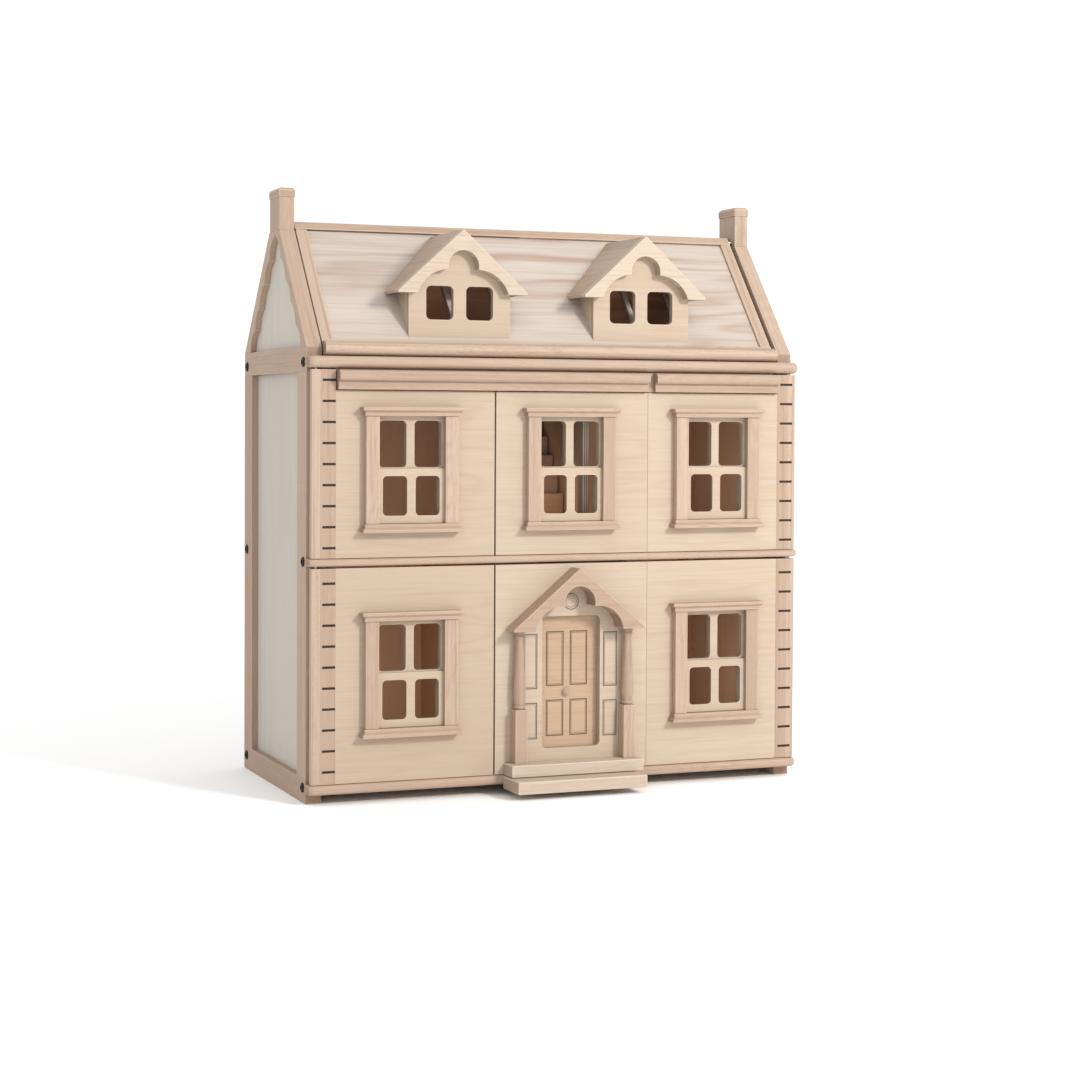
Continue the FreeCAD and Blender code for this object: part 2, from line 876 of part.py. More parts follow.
rail = [
    ("0", "cornice_low"),
    ("0", "attic_low"),
    ("-8", "attic_low"),
    ("-8", "cornice_top"),
    ("leaf_front", "cornice_top"),
    ("leaf_front", "cornice_low"),
]
finish(
    group([cornice("cornice_left", "cornice_split_left"), cornice("cornice_split_right", "cornice_right")]),
    "cornices",
)
finish(
    group([plate("YZ_Plane", [rail], "cornice_left", "cornice_right - cornice_left")]),
    "cornice_rail",
)


# ---------------------------------------------------------------- front leaves
def corner_post(side, inner, low, top, kerfs, first_kerf):
    """A corner post: round about its pivot at the back, with shallow saw cuts like laid stones."""
    outer = f"{side} * (pivot_x + 7)"
    pivot = f"{side} * pivot_x"
    if side < 0:
        outline = [(inner, "post_back"), (pivot, "post_back", "7.1"), (outer, "pivot_y"), (outer, "leaf_front")]
    else:
        outline = [(outer, "leaf_front"), (outer, "pivot_y", "7.1"), (pivot, "post_back"), (inner, "post_back")]
    outline.insert(0, (inner, "leaf_front"))
    post = plate("XY_Plane", [outline], low, f"{top} - {low}")
    cuts = [
        rod("pivot_radius + running", (pivot, "pivot_y", low), "pivot_reach + 0.5"),
        rod("pivot_radius + running", (pivot, "pivot_y", f"{top} - pivot_reach - 0.5"), "pivot_reach + 1"),
    ]
    reach = ("left_kerf_out", "left_post_in + 1") if side < 0 else ("right_post_in + 4", "right_kerf_out")
    for count in range(kerfs):
        z = f"{first_kerf} + {count} * kerf_pitch"
        high = (f"{z} - kerf_high / 2", f"{z} + kerf_high / 2")
        cuts.append(block(reach, ("leaf_front - 1", "leaf_front + kerf_deep"), high))
    return cut(post, cuts)


LOWER = ("lower_leaf_low", "lower_leaf_top")
UPPER = ("upper_leaf_low", "upper_leaf_top")
finish(corner_post(-1, "left_post_in", *LOWER, 10, "37.9"), "lower_left_post")
finish(corner_post(1, "right_post_in", *LOWER, 10, "37.9"), "lower_right_post")
finish(corner_post(-1, "left_post_in", *UPPER, 9, "292.3"), "upper_left_post")
finish(corner_post(1, "right_post_in", *UPPER, 9, "292.3"), "upper_right_post")


def window_holes(x, sill):
    """Outlines of a window's holes in a leaf: two fixed panes over the gap that the sash closes."""
    high = (f"{sill} + pane_low", f"{sill} + pane_high")
    return [
        rounded((f"{x} - pane_out", f"{x} - pane_in"), high, "pane_corner"),
        rounded((f"{x} + pane_in", f"{x} + pane_out"), high, "pane_corner"),
        rounded((f"{x} - gap_half", f"{x} + gap_half"), (f"{sill} + gap_low", f"{sill} + gap_high"), "pane_corner"),
    ]


def leaf_panel(label, x, z, holes):
    """A leaf's plywood with its holes."""
    outlines = [rectangle(x, z)] + holes
    return finish(plate("XZ_Plane", outlines, "-leaf_back", "leaf_back - leaf_front"), label)


LEFT = ("left_post_in", "left_seam")
CENTRE = ("centre_edge", "fold_x - fold_gap")
RIGHT = ("fold_x + fold_gap", "right_post_in")
UPPER_PLY = ("upper_leaf_low", "upper_ply_top")
entrance_hole = rounded(("door_left", "door_right"), ("door_low", "door_high"), "door_corner")
leaf_panel("lower_left_panel", LEFT, LOWER, window_holes("left_window", "lower_sill"))
leaf_panel("lower_centre_panel", CENTRE, LOWER, [entrance_hole])
leaf_panel("lower_right_panel", RIGHT, LOWER, window_holes("right_window", "lower_sill"))
leaf_panel("upper_left_panel", LEFT, UPPER_PLY, window_holes("left_window", "upper_sill"))
leaf_panel("upper_centre_panel", CENTRE, UPPER_PLY, window_holes("centre_window", "upper_sill"))
leaf_panel("upper_right_panel", RIGHT, UPPER_PLY, window_holes("right_window", "upper_sill"))

pivot_pins = []
for side in (-1, 1):
    for low, board_top in (("lower_leaf_low", "base_top"), ("upper_leaf_low", "middle_top")):
        start = (f"{side} * pivot_x", "pivot_y", f"{board_top} - 7")
        pivot_pins.append(rod("pivot_radius", start, f"7 + {low} - {board_top} + pivot_reach"))
    for top, board_low in (("lower_leaf_top", "middle_low"), ("upper_leaf_top", "attic_low")):
        start = (f"{side} * pivot_x", "pivot_y", f"{top} - pivot_reach")
        pivot_pins.append(rod("pivot_radius", start, f"pivot_reach + {board_low} - {top} + 1"))
for x in ("-wall_in - 10", "wall_in - 20"):
    pivot_pins.append(rod("roof_pin_radius", (x, "roof_pin_y", "roof_pin_z"), "30", "x"))
finish(group(pivot_pins), "pivot_pins")


# ---------------------------------------------------------------- windows
def window_frame(label, x, sill):
    """A window's sill, head and two casings; the casings are rebated for the sash."""
    depth = ("head_front", "leaf_front")
    full = (f"{x} - head_half", f"{x} + head_half")
    standing = (f"{sill} + sill_high", f"{sill} + head_low")
    pieces = [
        block(full, depth, (sill, f"{sill} + sill_high")),
        block(full, depth, (standing[1], f"{sill} + head_high")),
    ]
    for sign in ("-", "+"):
        pair = [f"{x} {sign} casing_out", f"{x} {sign} casing_in"]
        rebate = [f"{x} {sign} track_half", f"{x} {sign} casing_in"]
        if sign == "+":
            pair.reverse()
            rebate.reverse()
        casing = block(pair, ("casing_front", "leaf_front"), standing)
        pieces.append(cut(casing, [block(rebate, ("track_front", "leaf_front"), standing)]))
    return finish(group(pieces), label)


def sash(label, x, sill):
    """A sliding sash with two panes."""
    high = (f"{sill} + sash_pane_low", f"{sill} + sash_pane_high")
    outlines = [
        rectangle((f"{x} - sash_half", f"{x} + sash_half"), (f"{sill} + sash_low", f"{sill} + sash_high")),
        rounded((f"{x} - sash_pane_out", f"{x} - sash_pane_in"), high, "pane_corner"),
        rounded((f"{x} + sash_pane_in", f"{x} + sash_pane_out"), high, "pane_corner"),
    ]
    return finish(plate("XZ_Plane", outlines, "-sash_back", "sash_back - sash_front"), label)


WINDOWS = (
    ("lower_left", "left_window", "lower_sill"),
    ("lower_right", "right_window", "lower_sill"),
    ("upper_left", "left_window", "upper_sill"),
    ("upper_centre", "centre_window", "upper_sill"),
    ("upper_right", "right_window", "upper_sill"),
)
for place, centre, sill in WINDOWS:
    window_frame(f"{place}_window_frame", centre, sill)
    sash(f"{place}_sash", centre, sill)

# ---------------------------------------------------------------- porch
PORCH_LOBES = ("pediment_lobe", "pediment_cusp", "19", "pediment_foot", "56", "0.86")
finish(
    brow(
        "porch_x",
        "pediment_apex",
        "pediment_half",
        "pediment_tip",
        "pediment_foot",
        PORCH_LOBES,
        "leaf_front",
        "leaf_front - porch_front",
    ),
    "pediment",
)
SHAFT = [
    ("6.4", "pedestal_top - 0.5"),
    ("7", "102"),
    ("7", "106"),
    ("6", "108"),
    ("7.4", "118"),
    ("5.7", "150"),
    ("4.8", "180"),
    ("5.6", "184"),
    ("5.6", "188"),
    ("5", "pediment_foot"),
]


def column(x):
    """A square pedestal with a turned shaft."""
    half = "pedestal / 2"
    pedestal = block(
        (f"{x} - {half}", f"{x} + {half}"),
        (f"column_y - {half}", f"column_y + {half} - 0.05"),
        ("step_top", "pedestal_top"),
    )
    return fuse([pedestal, turned(SHAFT, x, "column_y")])


finish(group([column("porch_x - column_gap"), column("porch_x + column_gap")]), "porch_columns")
finish(
    group([block(("step_left", "step_right"), ("step_front", "leaf_front"), ("step_low", "step_top"))]), "upper_step"
)
finish(
    group(
        [
            block(
                ("ground_step_left", "ground_step_right"),
                ("ground_step_front", "-board_nose"),
                ("ground_step_low", "ground_step_top"),
            )
        ]
    ),
    "ground_step",
)

# ---------------------------------------------------------------- entrance door
door_outline = [
    ("leaf_hinge_x", "leaf_hinge_y - door_leaf_half"),
    ("door_leaf_right", "leaf_hinge_y - door_leaf_half"),
    ("door_leaf_right", "leaf_hinge_y + door_leaf_half"),
    ("leaf_hinge_x", "leaf_hinge_y + door_leaf_half", "door_leaf_half + 0.01"),
]
door_leaf = plate("XY_Plane", [door_outline], "door_leaf_low", "door_leaf_high - door_leaf_low")
door_bore = rod(
    "door_pin + running", ("leaf_hinge_x", "leaf_hinge_y", "door_leaf_low - 1"), "door_leaf_high - door_leaf_low + 2"
)
knob_bore = rod("1.5", ("knob_x", "leaf_hinge_y - door_leaf_half", "knob_z"), "3", "y")
finish(cut(door_leaf, [door_bore, knob_bore]), "entrance_door")

knob = fuse(
    [
        rod("4.4", ("knob_x", "leaf_hinge_y - door_leaf_half - 5", "knob_z"), "3.2", "y"),
        rod("1.5", ("knob_x", "leaf_hinge_y - door_leaf_half - 2", "knob_z"), "5", "y"),
    ]
)
finish(group([knob]), "entrance_knob")

pivots = []
for bracket, pin in (
    (("door_leaf_low - 6.4", "door_leaf_low - 0.4"), "door_leaf_low - 0.5"),
    (("door_leaf_high + 0.4", "door_leaf_high + 6.4"), "door_leaf_high - 4"),
):
    seat = block(("leaf_hinge_x - 4", "leaf_hinge_x + 4"), ("leaf_back", "leaf_hinge_y + 1.5"), bracket)
    pivots.append(fuse([seat, rod("door_pin", ("leaf_hinge_x", "leaf_hinge_y", pin), "4.5")]))
finish(group(pivots), "entrance_pivots")


# ---------------------------------------------------------------- fold hinges
def hinge_plate(side, low, rows):
    """One plate of a fold hinge with its knuckles, on the leaf to the left (-1) or right (+1)."""
    near = "fold_x + fold_gap" if side > 0 else "fold_x - 15"
    far = "fold_x + 15" if side > 0 else "fold_x - fold_gap"
    pieces = [block((near, far), ("leaf_back", "leaf_back + 1"), (low, f"{low} + 20"))]
    for bottom, top in rows:
        pieces.append(rod("1.9", ("fold_x", "fold_y", f"{low} + {bottom}"), f"{top} - {bottom}"))
        web = (near, "fold_x + 1.4") if side > 0 else ("fold_x - 1.4", far)
        pieces.append(block(web, ("leaf_back", "fold_y"), (f"{low} + {bottom}", f"{low} + {top}")))
    return pieces


def outer_plate(low):
    """The plate on the right leaf, which holds the pin."""
    pin = rod("0.8", ("fold_x", "fold_y", low), "20")
    return fuse(hinge_plate(1, low, (("0", "6"), ("14", "20"))) + [pin])


def inner_plate(low):
    """The plate on the centre leaf, which turns on the pin."""
    bore = rod("0.8 + running", ("fold_x", "fold_y", low), "20")
    return cut(fuse(hinge_plate(-1, low, (("6.4", "13.6"),))), [bore])


for floor, heights in (("lower", ("50", "220")), ("upper", ("295", "435"))):
    finish(group([outer_plate(low) for low in heights]), f"{floor}_outer_hinges")
    finish(group([inner_plate(low) for low in heights]), f"{floor}_inner_hinges")

# ---------------------------------------------------------------- test and write
doc.recompute()
faults = [f"{o.Label}: {o.State}" for o in doc.Objects if {"Invalid", "Error"} & set(o.State)]
for thing in sub_parts:
    shape = thing.Shape
    if shape.isNull() or not shape.isValid() or not shape.Solids:
        faults.append(f"{thing.Label}: no valid solid")
if faults:
    raise SystemExit("\n".join(faults))

os.makedirs("parts", exist_ok=True)
whole = FreeCAD.BoundBox()
for thing in sub_parts:
    thing.Shape.exportStep(os.path.join("parts", f"{thing.Label}.step"))
    whole.add(thing.Shape.BoundBox)
    print(f"{thing.Label}: {len(thing.Shape.Solids)} solids, {thing.Shape.Volume / 1000:.1f} cm3")
print(len(sub_parts), "sub-parts; box", whole)
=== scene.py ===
"""The wooden dollhouse: bare rubberwood, birch plywood and black bolts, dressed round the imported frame.

Each sub-assembly is a class. It reads its places from the frame, builds its boards with eased edges, and
gives every board the direction of its own grain, so that one finish serves rails, stiles and panels alike.
"""
import logging
import math
import random
from dataclasses import dataclass, field
from enum import Enum
from itertools import product
from typing import Callable, Iterable

import bmesh
import bpy
from mathutils import Matrix, Vector


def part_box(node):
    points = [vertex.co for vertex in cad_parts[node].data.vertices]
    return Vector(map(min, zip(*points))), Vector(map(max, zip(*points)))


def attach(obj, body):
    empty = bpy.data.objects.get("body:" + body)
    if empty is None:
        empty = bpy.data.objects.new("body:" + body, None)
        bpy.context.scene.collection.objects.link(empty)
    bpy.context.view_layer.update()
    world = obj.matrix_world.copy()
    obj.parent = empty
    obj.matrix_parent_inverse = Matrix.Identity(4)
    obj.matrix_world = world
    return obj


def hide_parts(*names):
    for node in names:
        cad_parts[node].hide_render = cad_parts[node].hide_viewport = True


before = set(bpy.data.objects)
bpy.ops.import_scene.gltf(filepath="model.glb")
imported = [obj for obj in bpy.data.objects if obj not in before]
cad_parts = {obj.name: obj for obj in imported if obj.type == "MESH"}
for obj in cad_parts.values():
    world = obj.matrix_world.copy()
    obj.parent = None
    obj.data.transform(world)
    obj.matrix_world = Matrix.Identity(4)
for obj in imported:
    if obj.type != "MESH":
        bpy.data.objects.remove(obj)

LOG = logging.getLogger("dollhouse")
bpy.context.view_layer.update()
MM = 0.001
ASIDE = 0.05 * MM
RAIL_LONG = 0.3  # a roof board longer than this in X is a rail
CASING_TALL = 0.05  # a window board taller than this is a casing
PITCH = math.atan(1.264)
UP_FRONT_SLOPE = Vector((0, math.cos(PITCH), math.sin(PITCH)))
UP_REAR_SLOPE = Vector((0, -math.cos(PITCH), math.sin(PITCH)))
X, Y, Z = Vector((1, 0, 0)), Vector((0, 1, 0)), Vector((0, 0, 1))
Colour = tuple[float, float, float]
Outline = list[tuple[float, float]]
Rule = Callable[[Vector, Vector], tuple[Vector, Vector]]
Test = Callable[[Vector], bool]
Mesh = bmesh.types.BMesh
Edge = bmesh.types.BMEdge


def linear(red: int, green: int, blue: int) -> Colour:
    """A colour given in 8-bit screen values, as the linear values that a shader takes."""
    values = (red, green, blue)
    return tuple(((v / 255 + 0.055) / 1.055) ** 2.4 if v > 10 else v / 255 / 12.92 for v in values)


def tinted(colour: Colour, factor: float) -> Colour:
    """A colour times a factor, up to full white."""
    return tuple(min(1.0, factor * v) for v in colour)


# ------------------------------------------------------------------------------- shader expressions
class Value:
    """A number's socket that adds Math nodes when it takes part in an expression."""

    def __init__(self, tree: bpy.types.NodeTree, socket: bpy.types.NodeSocket) -> None:
        """Keeps the socket and the tree that it is in."""
        self.tree, self.socket = tree, socket

    def _maths(self, operation: str, *operands: "Value | float") -> "Value":
        """Adds one Math node.

        Args:
            operation: The node's operation.
            operands: Numbers or sockets, in order.

        Returns:
            The node's result.
        """
        node = self.tree.nodes.new("ShaderNodeMath")
        node.operation = operation
        for slot, operand in zip(node.inputs, operands):
            if isinstance(operand, Value):
                self.tree.links.new(operand.socket, slot)
            else:
                slot.default_value = operand
        return Value(self.tree, node.outputs[0])

    def __add__(self, other: "Value | float") -> "Value":
        """self + other, either way round."""
        return self._maths("ADD", self, other)

    __radd__ = __add__

    def __sub__(self, other: "Value | float") -> "Value":
        """self - other."""
        return self._maths("SUBTRACT", self, other)

    def __mul__(self, other: "Value | float") -> "Value":
        """self * other."""
        return self._maths("MULTIPLY", self, other)

    def __pow__(self, other: float) -> "Value":
        """self to a power."""
        return self._maths("POWER", self, other)

    def wave(self) -> "Value":
        """The sine of self, from 0 to 1."""
        return self._maths("SINE", self) * 0.5 + 0.5

    def ramp(self, low: float, high: float) -> "Value":
        """0 below one value, 1 above another, and smooth between.

        Args:
            low: Where it starts to rise.
            high: Where it has risen.

        Returns:
            The ramp.
        """
        node = self.tree.nodes.new("ShaderNodeMapRange")
        node.interpolation_type = "SMOOTHSTEP"
        self.tree.links.new(self.socket, node.inputs["Value"])
        node.inputs["From Min"].default_value, node.inputs["From Max"].default_value = low, high
        return Value(self.tree, node.outputs["Result"])


class Shader:
    """One material's node tree, with a single method that makes any node."""

    def __init__(self, name: str) -> None:
        """Starts a material with only its output and a Principled shader."""
        self.material = bpy.data.materials.new(name)
        self.material.use_nodes = True
        self.tree = self.material.node_tree
        self.surface = self.tree.nodes["Principled BSDF"]

    def node(
        self, kind: str, settings: dict | None = None, sockets: dict | None = None, out: int | str = 0
    ) -> Value:
        """Makes a node.

        Args:
            kind: The node's type, without "ShaderNode".
            settings: Properties, set first.
            sockets: Values or links of its sockets, by name or index.
            out: Which output to return.

        Returns:
            That output.
        """
        made = self.tree.nodes.new("ShaderNode" + kind)
        for name, value in (settings or {}).items():
            setattr(made, name, value)
        for name, value in (sockets or {}).items():
            if isinstance(value, Value):
                self.tree.links.new(value.socket, made.inputs[name])
            else:
                made.inputs[name].default_value = value
        return Value(self.tree, made.outputs[out])

    def attribute(self, name: str, out: str = "Fac") -> Value:
        """A mesh attribute."""
        return self.node("Attribute", {"attribute_name": name}, out=out)

    def stretched(self, vector: Value, scale: tuple[float, float, float]) -> Value:
        """A vector times a fixed scale on each axis."""
        return self.node("VectorMath", {"operation": "MULTIPLY"}, {0: vector, 1: scale})

    def noise(
        self, vector: Value, scale: tuple[float, float, float], detail: float = 2.0, rough: float = 0.5
    ) -> Value:
        """Soft noise in a stretched space.

        Args:
            vector: The place.
            scale: The frequency on each axis.
            detail: How many finer layers it has.
            rough: How strong those are.

        Returns:
            The noise.
        """
        vector = self.stretched(vector, scale)
        sockets = {"Vector": vector, "Scale": 1.0, "Detail": detail, "Roughness": rough}
        return self.node("TexNoise", {"noise_dimensions": "3D"}, sockets)

    def mix(self, factor: Value | float, first: Value | Colour, second: Value | Colour) -> Value:
        """Mixes two colours.

        Args:
            factor: The share of the second.
            first: A colour or a link.
            second: A colour or a link.

        Returns:
            The mixed colour.
        """
        colours = {6: first, 7: second}
        sockets = {k: v if isinstance(v, Value) else (*v, 1.0) for k, v in colours.items()}
        return self.node("Mix", {"data_type": "RGBA"}, {0: factor, **sockets}, out=2)

    def finish(
        self, colour: Value, roughness: Value, height: Value, strength: float, depth: float
    ) -> bpy.types.Material:
        """Links the surface.

        Args:
            colour: The base colour.
            roughness: The roughness.
            height: The height of the relief, from 0 to 1.
            strength: How strongly the relief shows.
            depth: The relief's depth in metres.

        Returns:
            The finished material.
        """
        bump = self.node("Bump", sockets={"Height": height, "Strength": strength, "Distance": depth})
        for name, value in {"Base Color": colour, "Roughness": roughness, "Normal": bump}.items():
            self.tree.links.new(value.socket, self.surface.inputs[name])
        return self.material


# ----------------------------------------------------------------------------------------- finishes
class Slot(Enum):
    """The record's material slots."""

    SOLID = "rubberwood"
    PLY = "birch_plywood"
    WHITE = "white_plywood"
    BLACK = "black_bolt"
    STEEL = "steel"


@dataclass(frozen=True)
class Wood:
    """A bare, sanded wood, in metres along and across the grain of the board's own "grain" attribute."""

    name: str
    slot: Slot
    pale: Colour
    deep: Colour
    figure: float = 0.35  # strength of the flame figure
    rings: float = 26.0  # how many growth lines the figure has
    spread: tuple[float, float] = (2.2, 15.0)  # the figure's frequency along and across
    streak: float = 0.4  # strength of the long narrow streaks
    fleck: float = 0.5  # strength of the short dark pores
    blotch: float = 0.25  # strength of the broad warm and cool clouds
    layered: bool = False  # whether its cut sides show plywood layers
    # Darkening colour: laser burn for engraved lines; this near-black default is painted shade in the posts'
    # saw slots.
    burnt: Colour = (0.018, 0.009, 0.006)
    layer: float = 0.0028  # one light and one dark layer of plywood together
    relief: float = 0.00018  # the depth of the grain

    def material(self) -> bpy.types.Material:
        """Builds the node tree.

        Returns:
            The material.
        """
        s = Shader(self.name)
        grain, tone = s.attribute("grain", "Vector"), s.attribute("tone")
        cut, edge, burn = s.attribute("cut"), s.attribute("edge"), s.attribute("burnt")
        along, across = self.spread
        cloud = s.noise(grain, (along, across, across), 3.0, 0.55)
        growth = ((cloud * self.rings * 2 + s.noise(grain, (8, 160, 160)) * 0.7) * math.pi).wave()
        growth = growth ** 2.2
        fibre = s.noise(grain, (14, 1300, 1300), 3.0, 0.65)
        streaks = s.noise(grain, (3.2, 260, 260), 4.0, 0.6).ramp(0.46, 0.74)
        short = s.noise(grain, (150, 2600, 2600), 1.0).ramp(0.60, 0.72)
        pores = short * s.noise(grain, (9, 60, 60)).ramp(0.35, 0.65)
        clouds = s.noise(grain, (1.6, 6, 6), 2.0)

        colour = s.mix(clouds * self.blotch * 1.4, self.pale, self.deep)
        colour = s.mix(growth * s.noise(grain, (3, 9, 9)).ramp(0.3, 0.7) * self.figure, colour, self.deep)
        colour = s.mix(streaks * self.streak, colour, tinted(self.deep, 0.80))
        colour = s.mix(fibre.ramp(0.25, 0.75) * 0.26, colour, tinted(self.deep, 0.86))
        flecked = tuple(v * k for v, k in zip(self.deep, (0.60, 0.52, 0.46)))
        colour = s.mix(pores * self.fleck, colour, flecked)
        darker = s.mix(0.55, colour, tinted(self.deep, 0.88))
        colour = s.mix((tone * 0.5 + 0.5) * 0.9, colour, darker)
        if self.layered:
            depth = s.node("SeparateXYZ", sockets={0: grain}, out=2)
            layers = (depth * (2 * math.pi / self.layer)).wave().ramp(0.35, 0.6)
            side = s.mix(layers, tinted(self.deep, 0.42), tinted(self.pale, 0.92))
            colour = s.mix(cut * 0.8, colour, side)
        else:
            colour = s.mix(cut * 0.55, colour, tinted(self.deep, 0.70))
        # Eased edges are painted paler: partly handling wear, partly a painted highlight where the rounded
        # edge catches the light.
        colour = s.mix(edge * (0.30 + fibre * 0.35), colour, tinted(self.pale, 1.10))
        # Darkened faces: laser burn in engraved lines, painted shade in the posts' saw slots.
        colour = s.mix(burn * (0.86 + fibre * 0.12), colour, self.burnt)

        roughness = 0.50 + fibre * 0.18 + cut * 0.12 + burn * 0.1 - edge * 0.05
        height = fibre * 0.6 - pores * 0.8 - growth * 0.25 + cut * fibre * 0.4
        s.surface.inputs["IOR"].default_value = 1.42
        s.surface.inputs["Specular IOR Level"].default_value = 0.35
        return s.finish(colour, roughness, height, 0.35, self.relief)


@dataclass(frozen=True)
class Metal:
    """A bolt's or a hinge's finish, with faint brushing and handling marks."""

    name: str
    slot: Slot
    base: Colour
    metallic: float
    shine: float

    def material(self) -> bpy.types.Material:
        """Builds the node tree.

        Returns:
            The material.
        """
        s = Shader(self.name)
        place = s.node("TexCoord", out="Object")
        marks = s.noise(place, (900, 900, 260), 3.0, 0.6)
        smudge = s.noise(place, (120, 120, 120), 2.0)
        bright = tuple(min(1.0, v * 1.7 + 0.006) for v in self.base)
        colour = s.mix(marks.ramp(0.35, 0.8) * 0.4, self.base, bright)
        s.surface.inputs["Metallic"].default_value = self.metallic
        return s.finish(colour, self.shine + smudge * 0.16 + marks * 0.08, marks, 0.15, 0.00005)


PLY_PALE, PLY_DEEP = linear(200, 186, 169), linear(170, 144, 121)
SOLID_PALE, SOLID_DEEP = linear(189, 169, 151), linear(156, 127, 107)


class Store:
    """Makes each material once and hands it out."""

    def __init__(self) -> None:
        """Builds all the finishes."""
        solid, ply = Slot.SOLID, Slot.PLY
        leaf = {"layered": True, "spread": (1.6, 11.0), "rings": 16.0, "blotch": 0.3, "fleck": 0.12}
        finishes = {
            "rubberwood": Wood(
                "sawn_rubberwood", solid, SOLID_PALE, SOLID_DEEP, 0.34, streak=0.55, fleck=0.60
            ),
            "pale_solid": Wood(
                "pale_rubberwood", solid, linear(198, 184, 168), linear(168, 142, 121), 0.3, streak=0.4,
                fleck=0.4,
            ),
            "leaf_ply": Wood("leaf_ply", ply, PLY_PALE, PLY_DEEP, 0.28, streak=0.22, **leaf),
            "roof_ply": Wood(
                "roof_ply", ply, linear(203, 197, 188), linear(160, 134, 117), 0.80, streak=0.34, fleck=0.10,
                layered=True, spread=(1.1, 8.0), rings=11.0, blotch=0.35,
            ),
            "white_ply": Wood(
                "white_ply", Slot.WHITE, linear(204, 199, 190), linear(180, 170, 158), 0.25, streak=0.25,
                fleck=0.10, layered=True, spread=(1.2, 9.0), rings=10.0,
            ),
            "door_ply": Wood(
                "door_ply", ply, linear(193, 169, 145), linear(162, 130, 104), 0.3, streak=0.3, fleck=0.30,
                layered=True, burnt=linear(96, 78, 62),
            ),
            "porch_ply": Wood(
                "porch_ply", ply, PLY_PALE, PLY_DEEP, 0.22, streak=0.16, burnt=linear(100, 96, 84), **leaf
            ),
            "black_bolt": Metal("blackened_steel", Slot.BLACK, (0.006, 0.006, 0.007), 0.6, 0.30),
            "steel": Metal("bright_steel", Slot.STEEL, (0.50, 0.49, 0.47), 1.0, 0.28),
        }
        self.finishes: dict[str, Wood | Metal] = finishes
        self.made: dict[str, bpy.types.Material] = {}

    def get(self, name: str) -> bpy.types.Material:
        """A finish's material.

        Args:
            name: The finish.

        Returns:
            The material, made the first time that it is asked for.
        """
        if name not in self.made:
            self.made[name] = self.finishes[name].material()
        return self.made[name]


STORE = Store()


# ------------------------------------------------------------------------------------------ joinery
def fixed(along: Vector, depth: Vector) -> Rule:
    """The same directions for every board of a piece."""
    return lambda low, high: (along, depth)


def islands(shape: Mesh) -> list[Mesh]:
    """Each separate solid of a mesh as a mesh of its own.

    Args:
        shape: The mesh, which is freed.

    Returns:
        The solids, in the order of their first points.
    """
    shape.verts.ensure_lookup_table()
    owner, groups = {}, []
    for first in shape.verts:
        if first in owner:
            continue
        owner[first], stack, members = len(groups), [first], []
        while stack:
            vertex = stack.pop()
            members.append(vertex)
            for link in vertex.link_edges:
                other = link.other_vert(vertex)
                if other not in owner:
                    owner[other] = len(groups)
                    stack.append(other)
        groups.append(members)
    found = []
    for members in groups:
        solid = bmesh.new()
        copies = {v: solid.verts.new(v.co) for v in members}
        for f in {f: None for v in members for f in v.link_faces}:
            solid.faces.new([copies[v] for v in f.verts])
        found.append(solid)
    shape.free()
    return found


def sawn(shape: Mesh, point: Vector, normal: Vector, aside: float = 0.0) -> list[Mesh]:
    """Saws a mesh in two and closes both halves.

    Args:
        shape: The mesh, which is freed.
        point: A point of the joint's plane.
        normal: The plane's normal.
        aside: How far beside the joint the cut is made before it is brought back to it, so that it never runs
            along a face.

    Returns:
        The two halves.
    """
    halves = []
    for side in (True, False):
        half = shape.copy()
        geometry = half.verts[:] + half.edges[:] + half.faces[:]
        cut = bmesh.ops.bisect_plane(
            half, geom=geometry, dist=1e-6, plane_co=point + normal * aside, plane_no=normal,
            clear_outer=side, clear_inner=not side,
        )
        rim = [e for e in cut["geom_cut"] if isinstance(e, Edge) and e.is_boundary]
        bmesh.ops.triangle_fill(half, edges=rim, use_beauty=True, normal=normal)
        for vertex in {v for e in rim for v in e.verts}:
            vertex.co -= normal * aside
        tidy(half)
        halves.append(half)
    shape.free()
    return halves


def skinned(rings: list[list[Vector | tuple[float, float, float]]]) -> Mesh:
    """A closed solid over rings of points, with a flat at each end.

    Args:
        rings: The rings, each with as many points as the next.

    Returns:
        The solid.
    """
    shape = bmesh.new()
    rows = [[shape.verts.new(point) for point in ring] for ring in rings]
    for lower, upper in zip(rows, rows[1:]):
        for i in range(len(lower)):
            j = (i + 1) % len(lower)
            shape.faces.new([lower[i], lower[j], upper[j], upper[i]])
    shape.faces.new(list(reversed(rows[0])))
    shape.faces.new(rows[-1])
    bmesh.ops.recalc_face_normals(shape, faces=shape.faces)
    return shape


def extent(shape: Mesh) -> tuple[Vector, Vector]:
    """The lowest and highest corners of a mesh's box."""
    points = [v.co for v in shape.verts]
    return Vector(map(min, *points)), Vector(map(max, *points))


def prism(outline: Outline, axis: int, low: float, high: float) -> Mesh:
    """A straight solid.

    Args:
        outline: Its section, in the other two axes in rising order.
        axis: The axis it runs along: 0, 1 or 2.
        low: Where it starts.
        high: Where it ends.

    Returns:
        The solid.
    """
    return skinned([[(*point[:axis], level, *point[axis:]) for point in outline] for level in (low, high)])


def box(low: Vector, high: Vector) -> Mesh:
    """A plain board between two corners, before its edges are eased."""
    return prism([(low.x, low.y), (high.x, low.y), (high.x, high.y), (low.x, high.y)], 2, low.z, high.z)


